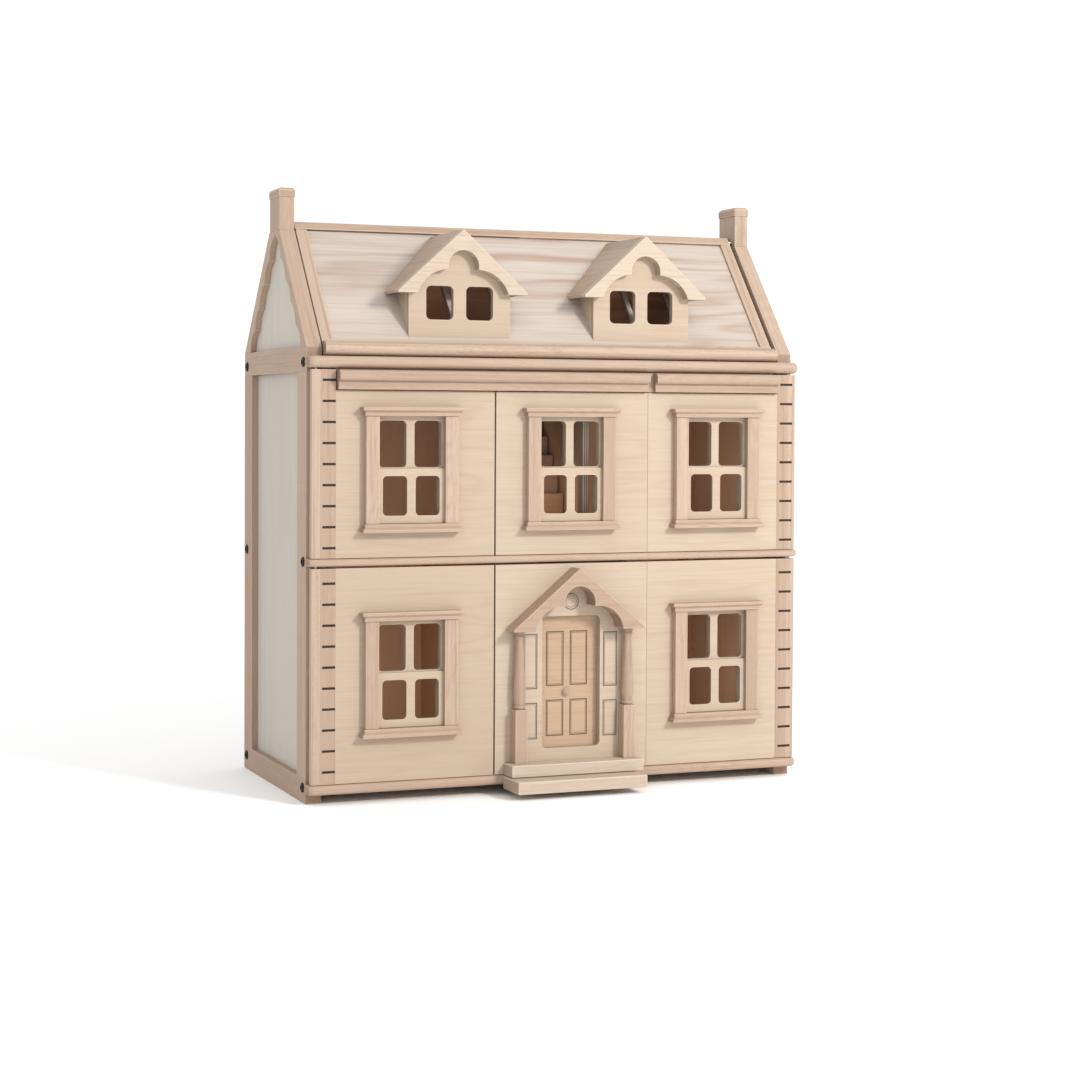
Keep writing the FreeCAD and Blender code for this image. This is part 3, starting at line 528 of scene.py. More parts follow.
def rounded_outline(corners: list[tuple[float, float, float]], steps: int = 5) -> Outline:
    """An outline with some corners rounded.

    Args:
        corners: Corner and radius, in order round the outline.
        steps: How many lines make one round corner.

    Returns:
        The outline's points.
    """
    points: Outline = []
    for i, (x, y, radius) in enumerate(corners):
        here = Vector((x, y))
        if radius <= 0:
            points.append((x, y))
            continue
        before = (Vector(corners[i - 1][:2]) - here).normalized()
        after = (Vector(corners[(i + 1) % len(corners)][:2]) - here).normalized()
        half = before.angle(after) / 2
        start, end = here + before * radius / math.tan(half), here + after * radius / math.tan(half)
        middle = here + (before + after).normalized() * radius / math.sin(half)
        sweep = (start - middle).angle(end - middle)
        for k in range(steps + 1):
            share = k / steps
            a, b = math.sin((1 - share) * sweep), math.sin(share * sweep)
            spot = middle + ((start - middle) * a + (end - middle) * b) / math.sin(sweep)
            points.append((spot.x, spot.y))
    return points


def stacked(low: Vector, high: Vector, levels: list[tuple[float, float]], corner: float) -> Mesh:
    """A moulded bar whose profile returns along both ends and stays flat at the back.

    Args:
        low: The lowest corner of its largest outline.
        high: The highest corner.
        levels: (inset, height) pairs from the bottom up; the inset is from the sides and the front.
        corner: The radius of its front corners.

    Returns:
        The bar.
    """
    rings = []
    for inset, height in levels:
        left, right, front = low.x + inset, high.x - inset, low.y + inset
        plan = rounded_outline(
            [(left, front, corner), (right, front, corner), (right, high.y, 0), (left, high.y, 0)], 3
        )
        rings.append([(x, y, height) for x, y in plan])
    return skinned(rings)


def lathe(profile: Outline, centre: Vector, axis: Vector, count: int, hexed: float = 0.0) -> Mesh:
    """A turned solid.

    Args:
        profile: (radius, distance along the axis) pairs, with the first and last closed by a flat.
        centre: Where the axis starts.
        axis: The direction of the axis.
        count: Points round it.
        hexed: Rings of this radius or less become hexagons, for a key's socket.

    Returns:
        The solid.
    """
    side = axis.orthogonal().normalized()
    other = axis.cross(side).normalized()
    rings = []
    for radius, distance in profile:
        ring = []
        for i in range(count):
            angle = 2 * math.pi * i / count
            reach = radius
            if radius <= hexed:
                reach = radius * math.cos(math.pi / 6) / math.cos(angle % (math.pi / 3) - math.pi / 6)
            spot = centre + axis * distance + (side * math.cos(angle) + other * math.sin(angle)) * reach
            ring.append(spot)
        rings.append(ring)
    return skinned(rings)


def sheet(outlines: list[Outline], front: float, back: float) -> Mesh:
    """A flat sheet that stands in the X-Z plane, with holes.

    Args:
        outlines: Outlines in X and Z; one inside another is a hole, and one inside a hole is solid again.
        front: The lower Y.
        back: The higher Y.

    Returns:
        The sheet.
    """
    curve = bpy.data.curves.new("sheet", "CURVE")
    curve.dimensions, curve.fill_mode, curve.extrude = "2D", "BOTH", (back - front) / 2
    for outline in outlines:
        spline = curve.splines.new("POLY")
        spline.points.add(len(outline) - 1)
        for point, (x, z) in zip(spline.points, outline):
            point.co = (x, z, 0, 1)
        spline.use_cyclic_u = True
    holder = bpy.data.objects.new("sheet", curve)
    mesh = bpy.data.meshes.new_from_object(holder)
    shape = bmesh.new()
    shape.from_mesh(mesh)
    bpy.data.objects.remove(holder)
    bpy.data.curves.remove(curve)
    bpy.data.meshes.remove(mesh)
    turn = Matrix(((1, 0, 0, 0), (0, 0, -1, (front + back) / 2), (0, 1, 0, 0), (0, 0, 0, 1)))
    bmesh.ops.transform(shape, matrix=turn, verts=shape.verts)
    tidy(shape)
    return shape


def tidy(shape: Mesh) -> None:
    """Joins doubled points and merges the triangles of each flat face."""
    bmesh.ops.remove_doubles(shape, verts=shape.verts, dist=2e-6)
    bmesh.ops.dissolve_degenerate(shape, edges=shape.edges, dist=1e-6)
    bmesh.ops.dissolve_limit(shape, angle_limit=math.radians(0.7), verts=shape.verts, edges=shape.edges)
    bmesh.ops.recalc_face_normals(shape, faces=shape.faces)


def shape_of(node: str) -> Mesh:
    """A clean copy of a CAD node's shape, to build a piece from.

    Args:
        node: The node.

    Returns:
        The copy.
    """
    shape = bmesh.new()
    shape.from_mesh(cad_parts[node].data)
    tidy(shape)
    return shape


class Timber:
    """One piece, gathered board by board. Every board keeps its own grain, tone, eased edges and cut ends."""

    SHARP = math.radians(28)

    def __init__(self, name: str, finish: str, seed: int) -> None:
        """Starts an empty piece with its own seeded draws."""
        self.name, self.finish = name, finish
        self.draw = random.Random(seed)
        self.points: list[Vector] = []
        self.faces: list[list[int]] = []
        self.grain: list[Vector] = []
        self.tone: list[float] = []
        self.marks: dict[str, list[float]] = {"edge": [], "cut": [], "burnt": []}

    def sharp_chains(self, board: Mesh, crisp: Test | None) -> list[list[Edge]]:
        """A board's outward sharp edges, in groups that touch, so that a small hole doesn't limit the rest.

        Args:
            board: The board.
            crisp: Tells from an edge's middle whether it stays sharp.

        Returns:
            The groups.
        """
        sharp = {
            e: None for e in board.edges
            if len(e.link_faces) == 2 and e.calc_face_angle(0) > self.SHARP and e.is_convex
            and not (crisp and crisp((e.verts[0].co + e.verts[1].co) / 2))
        }
        chains = []
        while sharp:
            first = next(iter(sharp))
            del sharp[first]
            chain, stack = [first], [first]
            while stack:
                for vertex in stack.pop().verts:
                    for e in vertex.link_edges:
                        if e in sharp:
                            del sharp[e]
                            chain.append(e)
                            stack.append(e)
            chains.append(chain)
        return chains

    def add(
        self,
        board: Mesh,
        along: Vector,
        depth: Vector,
        ease: float = 0.5 * MM,
        burnt: Test | None = None,
        crisp: Test | None = None,
        tone: float | None = None,
        segments: int = 2,
    ) -> "Timber":
        """Eases a board's edges and adds it.

        Args:
            board: The board, which is freed.
            along: The direction of its grain.
            depth: The direction through its thickness.
            ease: How far its edges are rounded.
            burnt: Tells from a face's middle whether it is darkened: laser burn in engraved lines, painted
                shade in saw slots.
            crisp: Tells from an edge's middle whether it stays sharp.
            tone: From -1, pale, to 1, dark; drawn when not given.
            segments: How many steps round an eased edge.

        Returns:
            The piece itself.
        """
        board.normal_update()
        eased: set[bmesh.types.BMFace] = set()
        for chain in self.sharp_chains(board, crisp) if ease > 0 else []:
            made = bmesh.ops.bevel(
                board, geom=chain, offset=ease, segments=segments, profile=0.5, affect="EDGES",
                clamp_overlap=True,
            )
            eased.update(made["faces"])
        eased = {f for f in eased if f.is_valid}
        board.normal_update()
        across = depth.cross(along).normalized()
        shift = Vector((self.draw.uniform(0, 9), self.draw.uniform(0, 9), 0))
        tone = self.draw.uniform(-1, 1) if tone is None else tone
        lowest = min(v.co.dot(depth) for v in board.verts)
        start, order = len(self.points), {}
        for vertex in board.verts:
            order[vertex] = start + len(order)
            self.points.append(vertex.co.copy())
            place = (vertex.co.dot(along), vertex.co.dot(across), vertex.co.dot(depth) - lowest)
            self.grain.append(Vector(place) + shift)
            self.tone.append(tone)
        layered = getattr(STORE.finishes[self.finish], "layered", False)
        for f in board.faces:
            self.faces.append([order[v] for v in f.verts])
            cut = abs(f.normal.dot(depth)) < 0.5 if layered else abs(f.normal.dot(along)) > 0.75
            # Darkened faces: laser burn in engraved lines, painted shade in saw slots.
            is_burnt = bool(burnt and burnt(f.calc_center_bounds()))
            # The edge mark paints eased faces paler in the finish: partly wear, partly a painted highlight.
            self.marks["edge"].append(float(f in eased and not is_burnt))
            self.marks["cut"].append(float(cut))
            self.marks["burnt"].append(float(is_burnt))
        board.free()
        return self

    def add_all(self, boards: Iterable[Mesh], rule: Rule, **options: object) -> "Timber":
        """Adds boards whose grain a rule gives from their boxes.

        Args:
            boards: The boards.
            rule: Gives the grain's and the thickness's directions.
            options: What add takes.

        Returns:
            The piece itself.
        """
        for board in boards:
            for solid in islands(board):
                self.add(solid, *rule(*extent(solid)), **options)
        return self

    def build(self, body: str, *nodes: str) -> bpy.types.Object:
        """Makes the object and fits it to the frame.

        Args:
            body: The CAD body that it moves with.
            nodes: The CAD nodes that it stands for.

        Returns:
            The object.
        """
        mesh = bpy.data.meshes.new(self.name)
        mesh.from_pydata(self.points, [], self.faces)
        mesh.attributes.new("grain", "FLOAT_VECTOR", "POINT").data.foreach_set(
            "vector", [c for point in self.grain for c in point]
        )
        mesh.attributes.new("tone", "FLOAT", "POINT").data.foreach_set("value", self.tone)
        for name, values in self.marks.items():
            mesh.attributes.new(name, "FLOAT", "FACE").data.foreach_set("value", values)
        mesh.shade_smooth()
        mesh.set_sharp_from_angle(angle=math.radians(50))
        made = bpy.data.objects.new(self.name, mesh)
        bpy.context.scene.collection.objects.link(made)
        mesh.materials.append(STORE.get(self.finish))
        weights = made.modifiers.new("even_faces", "WEIGHTED_NORMAL")
        weights.keep_sharp, weights.weight = True, 100
        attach(made, body)
        if nodes:
            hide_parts(*nodes)
        LOG.info("%s: %d faces on %s", self.name, len(self.faces), body)
        return made


SEEDS = iter(range(101, 9999, 7))


def plain(node: str, body: str, finish: str, rule: Rule, **options: object) -> None:
    """Rebuilds a CAD node as boards of the same shape with eased edges and their own grain.

    Args:
        node: The node.
        body: Its body.
        finish: The finish's name.
        rule: Gives the grain's direction for each board.
        options: What Timber.add takes.
    """
    piece = Timber(node + "_timber", finish, next(SEEDS))
    piece.add_all([shape_of(node)], rule, **options).build(body, node)


# --------------------------------------------------------------------------------------- assemblies
def slope_rule(middle: float) -> Rule:
    """The grain of boards that lie on the roof's two slopes.

    Args:
        middle: The Y of the ridge.

    Returns:
        A rule: up the slope for stiles and along X for rails, with the depth square to the slope.
    """

    def rule(low: Vector, high: Vector) -> tuple[Vector, Vector]:
        """Picks the slope from the board's own box."""
        up = UP_FRONT_SLOPE if (low.y + high.y) / 2 < middle else UP_REAR_SLOPE
        return (X if high.x - low.x > RAIL_LONG else up), up.cross(X).normalized()

    return rule


@dataclass
class Walls:
    """The two end walls, each four boards round a white panel, with the back and its black bolts."""

    rail_low: float = 28.0 * MM
    rail_top: float = 28.5 * MM
    ease: float = 0.7 * MM
    bolt_profile: Outline = field(
        default_factory=lambda: [
            (2.0, 0.0), (2.0, 29.9), (5.55, 29.95), (5.8, 30.3), (5.7, 30.9), (5.2, 31.5), (4.4, 31.95),
            (3.4, 32.18), (2.95, 32.2), (2.8, 32.1), (2.75, 30.9),
        ]
    )

    def frames(self) -> None:
        """Builds each wall's rails and stiles as separate boards."""
        for node in ("left_wall_frame", "right_wall_frame"):
            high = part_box(node)[1]
            bottom, rest = sawn(shape_of(node), Vector((0, 0, self.rail_low)), Z, ASIDE)
            middle, top = sawn(rest, Vector((0, 0, high.z - self.rail_top)), Z, -ASIDE)
            piece = Timber(node + "_timber", "rubberwood", next(SEEDS))
            piece.add_all([bottom, top, middle], self.direction, ease=self.ease)
            piece.build("house", node)

    @staticmethod
    def direction(low: Vector, high: Vector) -> tuple[Vector, Vector]:
        """Rails run front to back and stiles stand."""
        return (Y if high.y - low.y > 0.1 else Z), X

    def panels(self) -> None:
        """Builds the side panels and the back."""
        plain("side_panels", "house", "white_ply", fixed(Z, X), ease=0.3 * MM)
        plain("back_panels", "house", "white_ply", fixed(Z, Y), ease=0.4 * MM)

    def bolts(self) -> None:
        """Turns each bolt with a domed head and a six-sided socket."""
        piece = Timber("wall_bolts_turned", "black_bolt", next(SEEDS))
        profile = [(r * MM, d * MM) for r, d in self.bolt_profile]
        for bolt in islands(shape_of("wall_bolts")):
            low, high = extent(bolt)
            middle = (low + high) / 2
            side = math.copysign(1, middle.x)
            inner = min(abs(low.x), abs(high.x))
            start = Vector((side * inner, middle.y, middle.z))
            piece.add(lathe(profile, start, X * side, 48, hexed=2.85 * MM), X * side, Z, ease=0)
            bolt.free()
        piece.build("house", "wall_bolts")


@dataclass
class Inside:
    """The three floor boards, the partitions and the two stairs."""

    nose: float = 2.2 * MM

    def floors(self) -> None:
        """Builds the boards whose round noses band the front."""
        for node in ("base_floor", "middle_floor", "attic_floor"):
            plain(node, "house", "rubberwood", fixed(X, Z), ease=self.nose, segments=4, tone=-0.2)

    def partitions(self) -> None:
        """Builds the room walls."""
        for node in ("lower_partitions", "upper_partitions"):
            plain(node, "house", "leaf_ply", fixed(Z, X), ease=0.5 * MM)

    def stairs(self) -> None:
        """Builds the stairs."""
        for node in ("lower_staircase", "upper_staircase"):
            plain(node, "house", "rubberwood", fixed(X, Z), ease=0.5 * MM)


@dataclass
class Gables:
    """The scalloped rafters, their white panels and the chimneys."""

    ease: float = 0.8 * MM

    def rafters(self) -> None:
        """Saws each gable at the ridge, so that every rafter has its own grain up its slope."""
        low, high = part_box("gable_rafters")
        middle = (low.y + high.y) / 2
        halves = sawn(shape_of("gable_rafters"), Vector((0, middle, 0)), Y)

        def rule(low: Vector, high: Vector) -> tuple[Vector, Vector]:
            """Up the board's own slope."""
            return (UP_FRONT_SLOPE if low.y + high.y < 2 * middle else UP_REAR_SLOPE), X

        piece = Timber("gable_rafters_timber", "rubberwood", next(SEEDS))
        piece.add_all(halves, rule, ease=self.ease).build("house", "gable_rafters")

    def panels(self) -> None:
        """Builds the white panels behind the scallops."""
        plain("gable_panels", "house", "white_ply", fixed(Z, X), ease=0.3 * MM)

    def chimneys(self) -> None:
        """Builds the stacks and caps."""
        plain("chimneys", "house", "rubberwood", fixed(Z, X), ease=0.6 * MM)
        plain("chimney_caps", "house", "rubberwood", fixed(Z, X), ease=1.0 * MM, segments=3)


@dataclass
class Roof:
    """Both slopes, the ridge board and the two dormers."""

    low_rail: float = 11.5 * MM  # where the stiles start, up the slope from the wall's top corner
    high_rail: float = 183.0 * MM  # where they end
    ease: float = 1.3 * MM

    def slopes(self) -> None:
        """Builds each slope's frame from two stiles and two rails, and its panel."""
        low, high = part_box("gable_rafters")
        middle = (low.y + high.y) / 2
        rule = slope_rule(middle)
        wall_low, wall_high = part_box("left_wall_frame")
        front, top = wall_low.y, wall_high.z
        for frame_node, panel, body, up, corner in (
            ("roof_frame", "roof_panel", "front_roof", UP_FRONT_SLOPE, front),
            ("rear_roof_frame", "rear_roof_panel", "house", UP_REAR_SLOPE, 2 * middle - front),
        ):
            foot = Vector((0, corner, top))
            eave, rest = sawn(shape_of(frame_node), foot + up * self.low_rail, up, ASIDE)
            stiles, crest = sawn(rest, foot + up * self.high_rail, up, -ASIDE)
            piece = Timber(frame_node + "_timber", "rubberwood", next(SEEDS))
            piece.add_all([eave, stiles, crest], rule, ease=self.ease, segments=3)
            piece.build(body, frame_node)
            plain(panel, body, "roof_ply", rule, ease=0.3 * MM)

    def ridge(self) -> None:
        """Builds the ridge board."""
        plain("ridge_board", "house", "rubberwood", fixed(X, Z), ease=self.ease, segments=3)

    def dormers(self) -> None:
        """Builds the dormers' faces, cheeks, little roofs and scalloped brows."""
        plain("dormer_fronts", "front_roof", "leaf_ply", fixed(X, Y), ease=0.6 * MM)
        plain("dormer_cheeks", "front_roof", "leaf_ply", fixed(Z, X), ease=0.4 * MM)
        plain("dormer_roofs", "front_roof", "rubberwood", fixed(Y, Z), ease=0.6 * MM, tone=-0.4)
        plain("dormer_brows", "front_roof", "pale_solid", fixed(X, Y), ease=0.8 * MM, segments=3, tone=-0.6)


@dataclass
class Leaves:
    """The front leaves' plywood and their slotted corner posts; the lower centre leaf is the porch's."""

    glue_line: float = 10.3 * MM
    kerf_deep: float = 1.5 * MM
    left_slots: tuple[float, float] = (12.6 * MM, 30.0 * MM)
    right_slots: tuple[float, float] = (3.9 * MM, 21.1 * MM)
    places: tuple[str, ...] = ("upper_left", "upper_right", "lower_left", "lower_right")

    def post(self, place: str) -> None:
        """Builds a post from two glued strips; saw slots cross the inner one.

        Args:
            place: The leaf.
        """
        node, body = f"{place}_post", f"{place}_door"
        low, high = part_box(node)
        left = "left" in place
        seam = low.x + self.glue_line if left else high.x - self.glue_line
        reach = self.left_slots if left else self.right_slots
        first, last = low.x + reach[0], low.x + reach[1]

        def in_slot(middle: Vector) -> bool:
            """Whether a face or an edge belongs to a slot."""
            return middle.y - low.y < self.kerf_deep + 0.1 * MM and first < middle.x < last

        # The slots' walls and floor get painted shade, near-black, in the finish.
        def burnt(middle: Vector) -> bool:
            """Whether a face is one of a slot's walls or its floor."""
            return middle.y - low.y > 0.02 * MM and in_slot(middle)

        piece = Timber(node + "_timber", "rubberwood", next(SEEDS))
        for tone, strip in zip((-0.7, 0.5), sawn(shape_of(node), Vector((seam, 0, 0)), X)):
            shade = tone if left else -tone
            piece.add_all([strip], fixed(Z, Y), ease=0.35 * MM, burnt=burnt, crisp=in_slot, tone=shade)
        piece.build(body, node)

    def panels(self) -> None:
        """Builds the leaves' plywood panels and the posts."""
        for place in self.places:
            plain(f"{place}_panel", f"{place}_door", "leaf_ply", fixed(X, Y), ease=0.5 * MM)
            self.post(place)
        plain("upper_centre_panel", "upper_centre_door", "leaf_ply", fixed(X, Y), ease=0.5 * MM)


@dataclass
class Windows:
    """Casings with moulded heads and sills, and the sliding sashes."""

    corner: float = 0.8 * MM
    ease: float = 0.25 * MM
    casing_ease: float = 0.7 * MM
    profile: tuple[tuple[float, float], ...] = (
        (3.3, 0.0), (3.0, 0.3), (3.0, 3.5), (3.4, 3.9), (2.8, 4.6), (1.7, 5.2), (0.6, 5.9), (0.0, 6.9),
        (0.0, 9.3), (0.3, 9.8), (0.8, 10.0),
    )
    places: tuple[str, ...] = ("upper_left", "upper_centre", "upper_right", "lower_left", "lower_right")

    def bar(self, low: Vector, high: Vector, upright: bool) -> Mesh:
        """A head, or with upright false the same moulding turned over as a sill.

        Args:
            low: The bar's lowest corner.
            high: Its highest corner.
            upright: Whether the wide lip is at the top.

        Returns:
            The bar.
        """
        tall, last = high.z - low.z, self.profile[-1][1]
        levels = [(inset * MM, low.z + tall * rise / last) for inset, rise in self.profile]
        if not upright:
            levels = [(inset, low.z + high.z - z) for inset, z in reversed(levels)]
        return stacked(low, high, levels, self.corner)

    def frame_of(self, place: str) -> None:
        """Builds one window's casings, head and sill, and its sash.

        Args:
            place: The leaf that the window is in.
        """
        node = f"{place}_window_frame"
        low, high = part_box(node)
        piece = Timber(node + "_timber", "rubberwood", next(SEEDS))
        for solid in islands(shape_of(node)):
            first, last = extent(solid)
            if last.z - first.z > CASING_TALL:
                piece.add(solid, Z, Y, ease=self.casing_ease)
            else:
                solid.free()
                upright = last.z > (low.z + high.z) / 2
                piece.add(self.bar(first, last, upright), X, Y, ease=self.ease, tone=-0.1)
        piece.build(f"{place}_door", node)
        plain(f"{place}_sash", f"{place}_window", "leaf_ply", fixed(X, Y), ease=0.5 * MM, tone=0.4)

    def all(self) -> None:
        """Builds the five windows."""
        for place in self.places:
            self.frame_of(place)


@dataclass
class Cornice:
    """The two bullnosed cornice pieces and the rail behind them."""

    split: float = 112.0 * MM
    step: float = 6.0 * MM
    step_high: float = 9.6 * MM
    round_end: float = 3.4 * MM

    def build(self) -> None:
        """Builds the pieces from one moulded section."""
        low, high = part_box("cornices")
        waist = low.z + self.step_high
        section = rounded_outline([
            (high.y, low.z, 0), (low.y + self.step, low.z, 0.9 * MM), (low.y + self.step, waist, 0),
            (low.y + 1.5 * MM, waist + 0.5 * MM, 2.0 * MM), (low.y, waist + 3 * MM, 2.5 * MM),
            (low.y, high.z, 5.0 * MM), (high.y, high.z, 0),
        ])
        piece = Timber("cornices_timber", "rubberwood", next(SEEDS))
        for solid in islands(shape_of("cornices")):
            first, last = extent(solid)
            left, right = first.x, last.x
            solid.free()
            bar = prism(section, 0, left, right)
            if right < self.split:
                edge = right - 1e-5, low.z + 1e-5
                corner = [e for e in bar.edges if all(v.co.x > edge[0] and v.co.z < edge[1] for v in e.verts)]
                bmesh.ops.bevel(
                    bar, geom=corner, offset=self.round_end, segments=5, profile=0.5, affect="EDGES"
                )
            piece.add(bar, X, Y, ease=0.4 * MM, tone=0.5)
        piece.build("house", "cornices")
        plain("cornice_rail", "house", "rubberwood", fixed(X, Y), ease=0.4 * MM)


@dataclass
class Engraving:
    """Double engraved outlines on a sheet's front."""

    deep: float = 0.6 * MM
    insets: tuple[float, ...] = (0.0, 1.3, 2.0, 2.5)

    def panels(self, columns: Outline, levels: Outline) -> list[Outline]:
        """The nested outlines of engraved rectangles, one where each column crosses each level.

        Args:
            columns: Their left and right sides, in millimetres.
            levels: Their lower and upper sides, in millimetres.

        Returns:
            The outlines, in metres.
        """
        found = []
        for (left, right), (low, high) in product(columns, levels):
            for inset in self.insets:
                sides = ((left, 1), (right, -1), (low, 1), (high, -1))
                x0, x1, z0, z1 = ((v + s * inset) * MM for v, s in sides)
                found.append([(x0, z0), (x1, z0), (x1, z1), (x0, z1)])
        return found

    def ring(self, x: float, z: float, radii: tuple[float, ...]) -> list[Outline]:
        """The nested outlines of engraved circles, in metres, from millimetres."""
        turns = [2 * math.pi * i / 48 for i in range(48)]
        return [[((x + r * math.cos(t)) * MM, (z + r * math.sin(t)) * MM) for t in turns] for r in radii]

    def carve(self, piece: Timber, node: str, outer: list[Outline], lines: list[Outline]) -> None:
        """Adds a node's board to a piece with a thin front layer that the lines are cut through.

        Args:
            piece: The piece.
            node: The CAD node.
            outer: The front layer's edge and its openings.
            lines: The engraved outlines.
        """
        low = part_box(node)[0]
        floor = low.y + self.deep
        front, back = sawn(shape_of(node), Vector((0, floor, 0)), Y)
        front.free()
        spans = [[(min(values), max(values)) for values in zip(*outline)] for outline in lines]
        slack = 0.05 * MM

        def in_line(middle: Vector) -> bool:
            """Whether a face of the front layer is a wall of an engraved line."""
            near = any(
                left - slack < middle.x < right + slack and bottom - slack < middle.z < top + slack
                for (left, right), (bottom, top) in spans
            )
            return near and middle.y > low.y + 0.1 * MM

        piece.add(back, X, Y, ease=0.0, burnt=lambda middle: abs(middle.y - floor) < 0.02 * MM, tone=0.0)
        layer = sheet(outer + lines, low.y, floor + 0.05 * MM)
        piece.add(layer, X, Y, ease=0.15 * MM, burnt=in_line, tone=-0.3)


@dataclass
class Porch:
    """The entrance: pediment, turned columns on pedestals, steps, engraved leaf and sidelights."""

    pedestal_top: float = 100.0 * MM
    opening: tuple[float, float, float, float] = (-26.7, 48.2, 51.0, 207.0)
    opening_corner: float = 6.0
    hinge_side: float = -30.4
    sidelights: tuple[tuple[float, float], ...] = ((52.0, 70.4), (-51.0, -32.8))
    sidelight_levels: tuple[tuple[float, float], ...] = ((121.7, 187.0), (62.5, 105.6))
    rose: tuple[float, float] = (10.2, 224.0)
    rose_radii: tuple[float, ...] = (10.0, 8.8, 7.2, 6.7)
    door_panels: tuple[tuple[float, float], ...] = ((-17.5, 5.2), (13.2, 35.9))
    door_levels: tuple[tuple[float, float], ...] = ((123.4, 188.3), (63.7, 107.0))
    knob: tuple[tuple[float, float], ...] = (
        (1.6, 0.0), (1.6, 3.0), (2.1, 3.5), (3.5, 4.0), (4.2, 4.8), (4.4, 5.6), (4.2, 6.5), (3.5, 7.3),
        (2.2, 7.8), (0.8, 8.0),
    )
    shaft: Outline = field(
        default_factory=lambda: [
            (5.6, 100.0), (5.8, 101.0), (6.7, 101.5), (7.0, 102.2), (7.0, 104.2), (6.7, 104.9),
            (5.9, 105.5), (6.1, 107.0), (6.9, 110.5), (7.35, 115.0), (7.4, 119.0), (7.2, 125.0),
            (6.75, 135.0), (6.2, 147.0), (5.7, 159.0), (5.25, 170.0), (4.85, 179.0), (4.8, 181.6),
            (5.5, 182.4), (5.9, 183.4), (5.9, 185.4), (5.5, 186.4), (5.1, 187.0), (5.1, 189.0),
            (5.8, 190.0), (5.8, 192.0),
        ]
    )

    def columns(self) -> None:
        """Builds the pedestals and turns the shafts."""
        piece = Timber("porch_columns_timber", "rubberwood", next(SEEDS))
        for solid in islands(shape_of("porch_columns")):
            low, high = extent(solid)
            solid.free()
            middle = (low + high) / 2
            piece.add(box(low, Vector((high.x, high.y, self.pedestal_top))), Z, Y, ease=0.9 * MM, segments=3)
            profile = [(r * MM, z * MM) for r, z in self.shaft]
            piece.add(lathe(profile, Vector((middle.x, middle.y, 0)), Z, 64), Z, Y, ease=0.0)
        piece.build("lower_centre_door", "porch_columns")

    def panel(self) -> None:
        """Builds the centre leaf's panel with its engraved sidelights and fanlight."""
        node = "lower_centre_panel"
        low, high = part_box(node)
        edge = [(low.x, low.z), (high.x, low.z), (high.x, high.z), (low.x, high.z)]
        left, right, bottom, top = self.opening
        corners = [(left, bottom), (right, bottom), (right, top), (left, top)]
        hole = [(x * MM, z * MM) for x, z in rounded_outline([(*c, self.opening_corner) for c in corners], 7)]
        art = Engraving()
        lines = art.panels(self.sidelights, self.sidelight_levels)
        lines += art.ring(*self.rose, self.rose_radii)
        piece = Timber(node + "_timber", "porch_ply", next(SEEDS))
        art.carve(piece, node, [edge, hole], lines)
        piece.build("lower_centre_door", node)

    def door(self) -> None:
        """Builds the entrance leaf with four engraved panels, and its knob."""
        node = "entrance_door"
        low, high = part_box(node)
        left = self.hinge_side * MM
        edge = [(left, low.z), (high.x, low.z), (high.x, high.z), (left, high.z)]
        art = Engraving()
        lines = art.panels(self.door_panels, self.door_levels)
        piece = Timber(node + "_timber", "door_ply", next(SEEDS))
        art.carve(piece, node, [edge], lines)
        piece.build("entrance_leaf", node)
        low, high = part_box("entrance_knob")
        start = Vector(((low.x + high.x) / 2, high.y, (low.z + high.z) / 2))
        profile = [(r * MM, d * MM) for r, d in self.knob]
        knob = Timber("entrance_knob_turned", "pale_solid", next(SEEDS))
        knob.add(lathe(profile, start, -Y, 48), -Y, Z, ease=0.0, tone=-0.5)
        knob.build("entrance_leaf", "entrance_knob")

    def trim(self) -> None:
        """Builds the pediment, the two steps and the entrance leaf's pivots."""
        body = "lower_centre_door"
        plain("entrance_pivots", body, "rubberwood", fixed(X, Z), ease=0.2 * MM)
        plain("pediment", body, "rubberwood", fixed(X, Y), ease=0.9 * MM, segments=3, tone=0.6)
        plain("upper_step", body, "pale_solid", fixed(X, Z), ease=1.2 * MM, segments=3, tone=-0.9)
        plain("ground_step", "house", "pale_solid", fixed(X, Z), ease=1.4 * MM, segments=3, tone=-0.4)


class Hardware:
    """The steel that mostly hides: pins and fold hinges keep their CAD shapes."""

    nodes = (
        "pivot_pins", "upper_outer_hinges", "upper_inner_hinges", "lower_outer_hinges", "lower_inner_hinges",
    )

    def dress(self) -> None:
        """Gives each node the steel finish."""
        for name in self.nodes:
            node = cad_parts[name]
            if not node.material_slots:
                node.data.materials.append(STORE.get("steel"))
            for place in node.material_slots:
                place.material = STORE.get("steel")
            LOG.info("%s: steel", name)


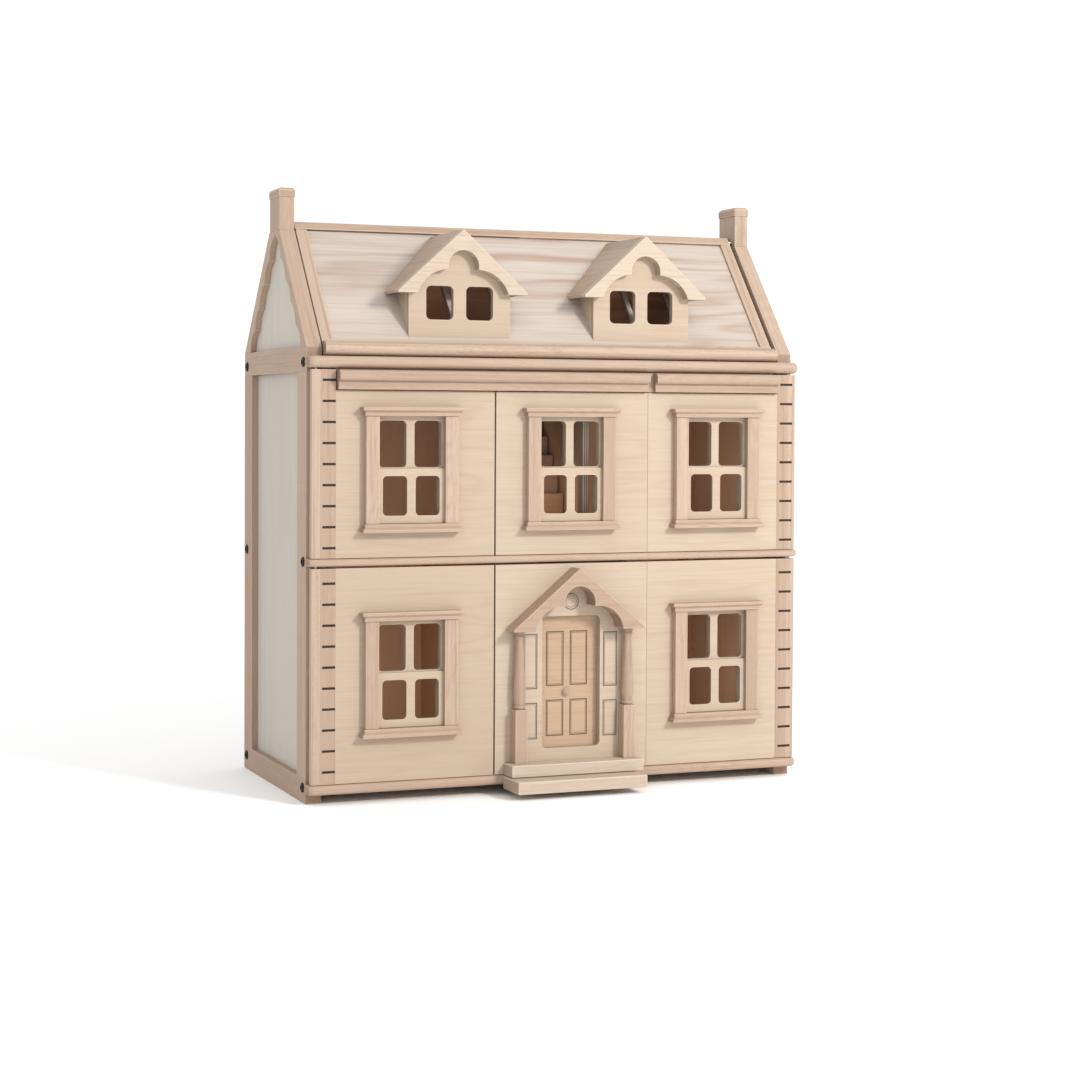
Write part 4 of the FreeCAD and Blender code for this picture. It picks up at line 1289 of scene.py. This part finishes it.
@dataclass
class Studio:
    """Camera, soft light and a plain pale floor."""

    spot: tuple[float, float, float] = (-0.98197, -2.33891, 0.43712)
    yaw: float = math.radians(20.468)
    pitch: float = math.radians(-1.369)
    roll: float = math.radians(0.218)
    lens: float = 68.59
    shift: tuple[float, float] = (0.0899, -0.0650)
    aim: Vector = field(default_factory=lambda: Vector((0.0, -0.1, 0.36)))
    room_front: float = -80.0
    dormer_front: float = -20.0
    dormer_lamp: float = 0.03  # a lamp of this size or less stands in a dormer
    room_colour: Colour = (1.0, 0.56, 0.35)
    key_place: Vector = field(default_factory=lambda: Vector((0.98, -2.0, 1.05)))
    key_watts: float = 42.0
    key_size: float = 0.38
    key_colour: Colour = (1.0, 0.985, 0.96)
    surround: float = 1.06
    room_lamps: tuple[tuple[float, float, float, float], ...] = (
        (-185, 100, 0.15, 0.12), (10, 150, 0.05, 0.08), (190, 100, 0.13, 0.12), (-170, 345, 0.13, 0.12),
        (0, 345, 0.012, 0.06), (170, 345, 0.13, 0.12), (-121, 560, 0.03, 0.02), (114, 560, 0.03, 0.02),
    )

    def camera(self) -> None:
        """Places the camera."""
        level = math.cos(self.pitch)
        ahead = Vector((math.sin(self.yaw) * level, math.cos(self.yaw) * level, math.sin(self.pitch)))
        right = Vector((math.cos(self.yaw), -math.sin(self.yaw), 0))
        up = right.cross(ahead)
        side = right * math.cos(self.roll) + up * math.sin(self.roll)
        top = up * math.cos(self.roll) - right * math.sin(self.roll)
        data = bpy.data.cameras.new("camera")
        data.lens, data.sensor_width = self.lens, 36.0
        data.shift_x, data.shift_y = self.shift
        data.clip_end = 60
        made = bpy.data.objects.new("camera", data)
        made.matrix_world = Matrix.Translation(self.spot) @ Matrix((side, top, -ahead)).transposed().to_4x4()
        bpy.context.scene.collection.objects.link(made)
        bpy.context.scene.camera = made

    def lamp(
        self, name: str, spot: Vector, towards: Vector, watts: float, size: float, colour: Colour
    ) -> None:
        """Adds a soft square lamp.

        Args:
            name: Its name.
            spot: Where it stands.
            towards: A point that it faces.
            watts: Its power.
            size: The length of its side.
            colour: Its colour.
        """
        data = bpy.data.lights.new(name, "AREA")
        data.energy, data.size, data.color = watts, size, colour
        made = bpy.data.objects.new(name, data)
        made.location = spot
        made.rotation_euler = (towards - spot).to_track_quat("-Z", "Y").to_euler()
        made.visible_camera = False
        bpy.context.scene.collection.objects.link(made)

    def rooms(self) -> None:
        """A faint warm lamp in each room and each dormer, so that the panes are brown and not black."""
        back = Vector((0, 0.1, 0))
        for count, (x, z, watts, size) in enumerate(self.room_lamps):
            spot = Vector((x, self.room_front if size > self.dormer_lamp else self.dormer_front, z)) * MM
            self.lamp(f"room_{count}", spot, spot + back, watts, size, self.room_colour)

    def light(self) -> None:
        """A white surround, and a key from the front right that draws the soft shadows."""
        world = bpy.data.worlds.new("surround")
        world.use_nodes = True
        background = world.node_tree.nodes["Background"]
        background.inputs["Color"].default_value = (1, 1, 1, 1)
        background.inputs["Strength"].default_value = self.surround
        bpy.context.scene.world = world
        place = self.aim + self.key_place
        self.lamp("key", place, self.aim, self.key_watts, self.key_size, self.key_colour)
        bpy.context.scene.view_settings.view_transform = "Standard"

    def floor(self) -> None:
        """A plain pale floor."""
        shape = bmesh.new()
        bmesh.ops.create_grid(shape, x_segments=4, y_segments=4, size=30)
        mesh = bpy.data.meshes.new("studio_floor")
        shape.to_mesh(mesh)
        shape.free()
        floor = bpy.data.objects.new("studio_floor", mesh)
        floor.location.z = -0.0002
        s = Shader("studio_floor")
        mottle = s.noise(s.node("TexCoord", out="Object"), (1.5, 1.5, 1.5), 2.0)
        colour = s.mix(mottle, (0.965, 0.965, 0.965), (0.975, 0.975, 0.975))
        mesh.materials.append(s.finish(colour, 0.85 + mottle * 0.05, mottle, 0.02, 0.0005))
        bpy.context.scene.collection.objects.link(floor)


def main() -> None:
    """Builds the house in order, then the studio."""
    walls, inside, gables, roof = Walls(), Inside(), Gables(), Roof()
    porch, studio = Porch(), Studio()
    steps = (
        walls.frames, walls.panels, walls.bolts,
        inside.floors, inside.partitions, inside.stairs,
        gables.rafters, gables.panels, gables.chimneys,
        roof.slopes, roof.ridge, roof.dormers,
        Leaves().panels, Windows().all, Cornice().build,
        porch.columns, porch.panel, porch.door, porch.trim,
        Hardware().dress,
        studio.camera, studio.light, studio.rooms, studio.floor,
    )
    for step in steps:
        step()


if __name__ == "__main__":
    logging.basicConfig(level=logging.INFO, format="%(name)s %(message)s")
    main()
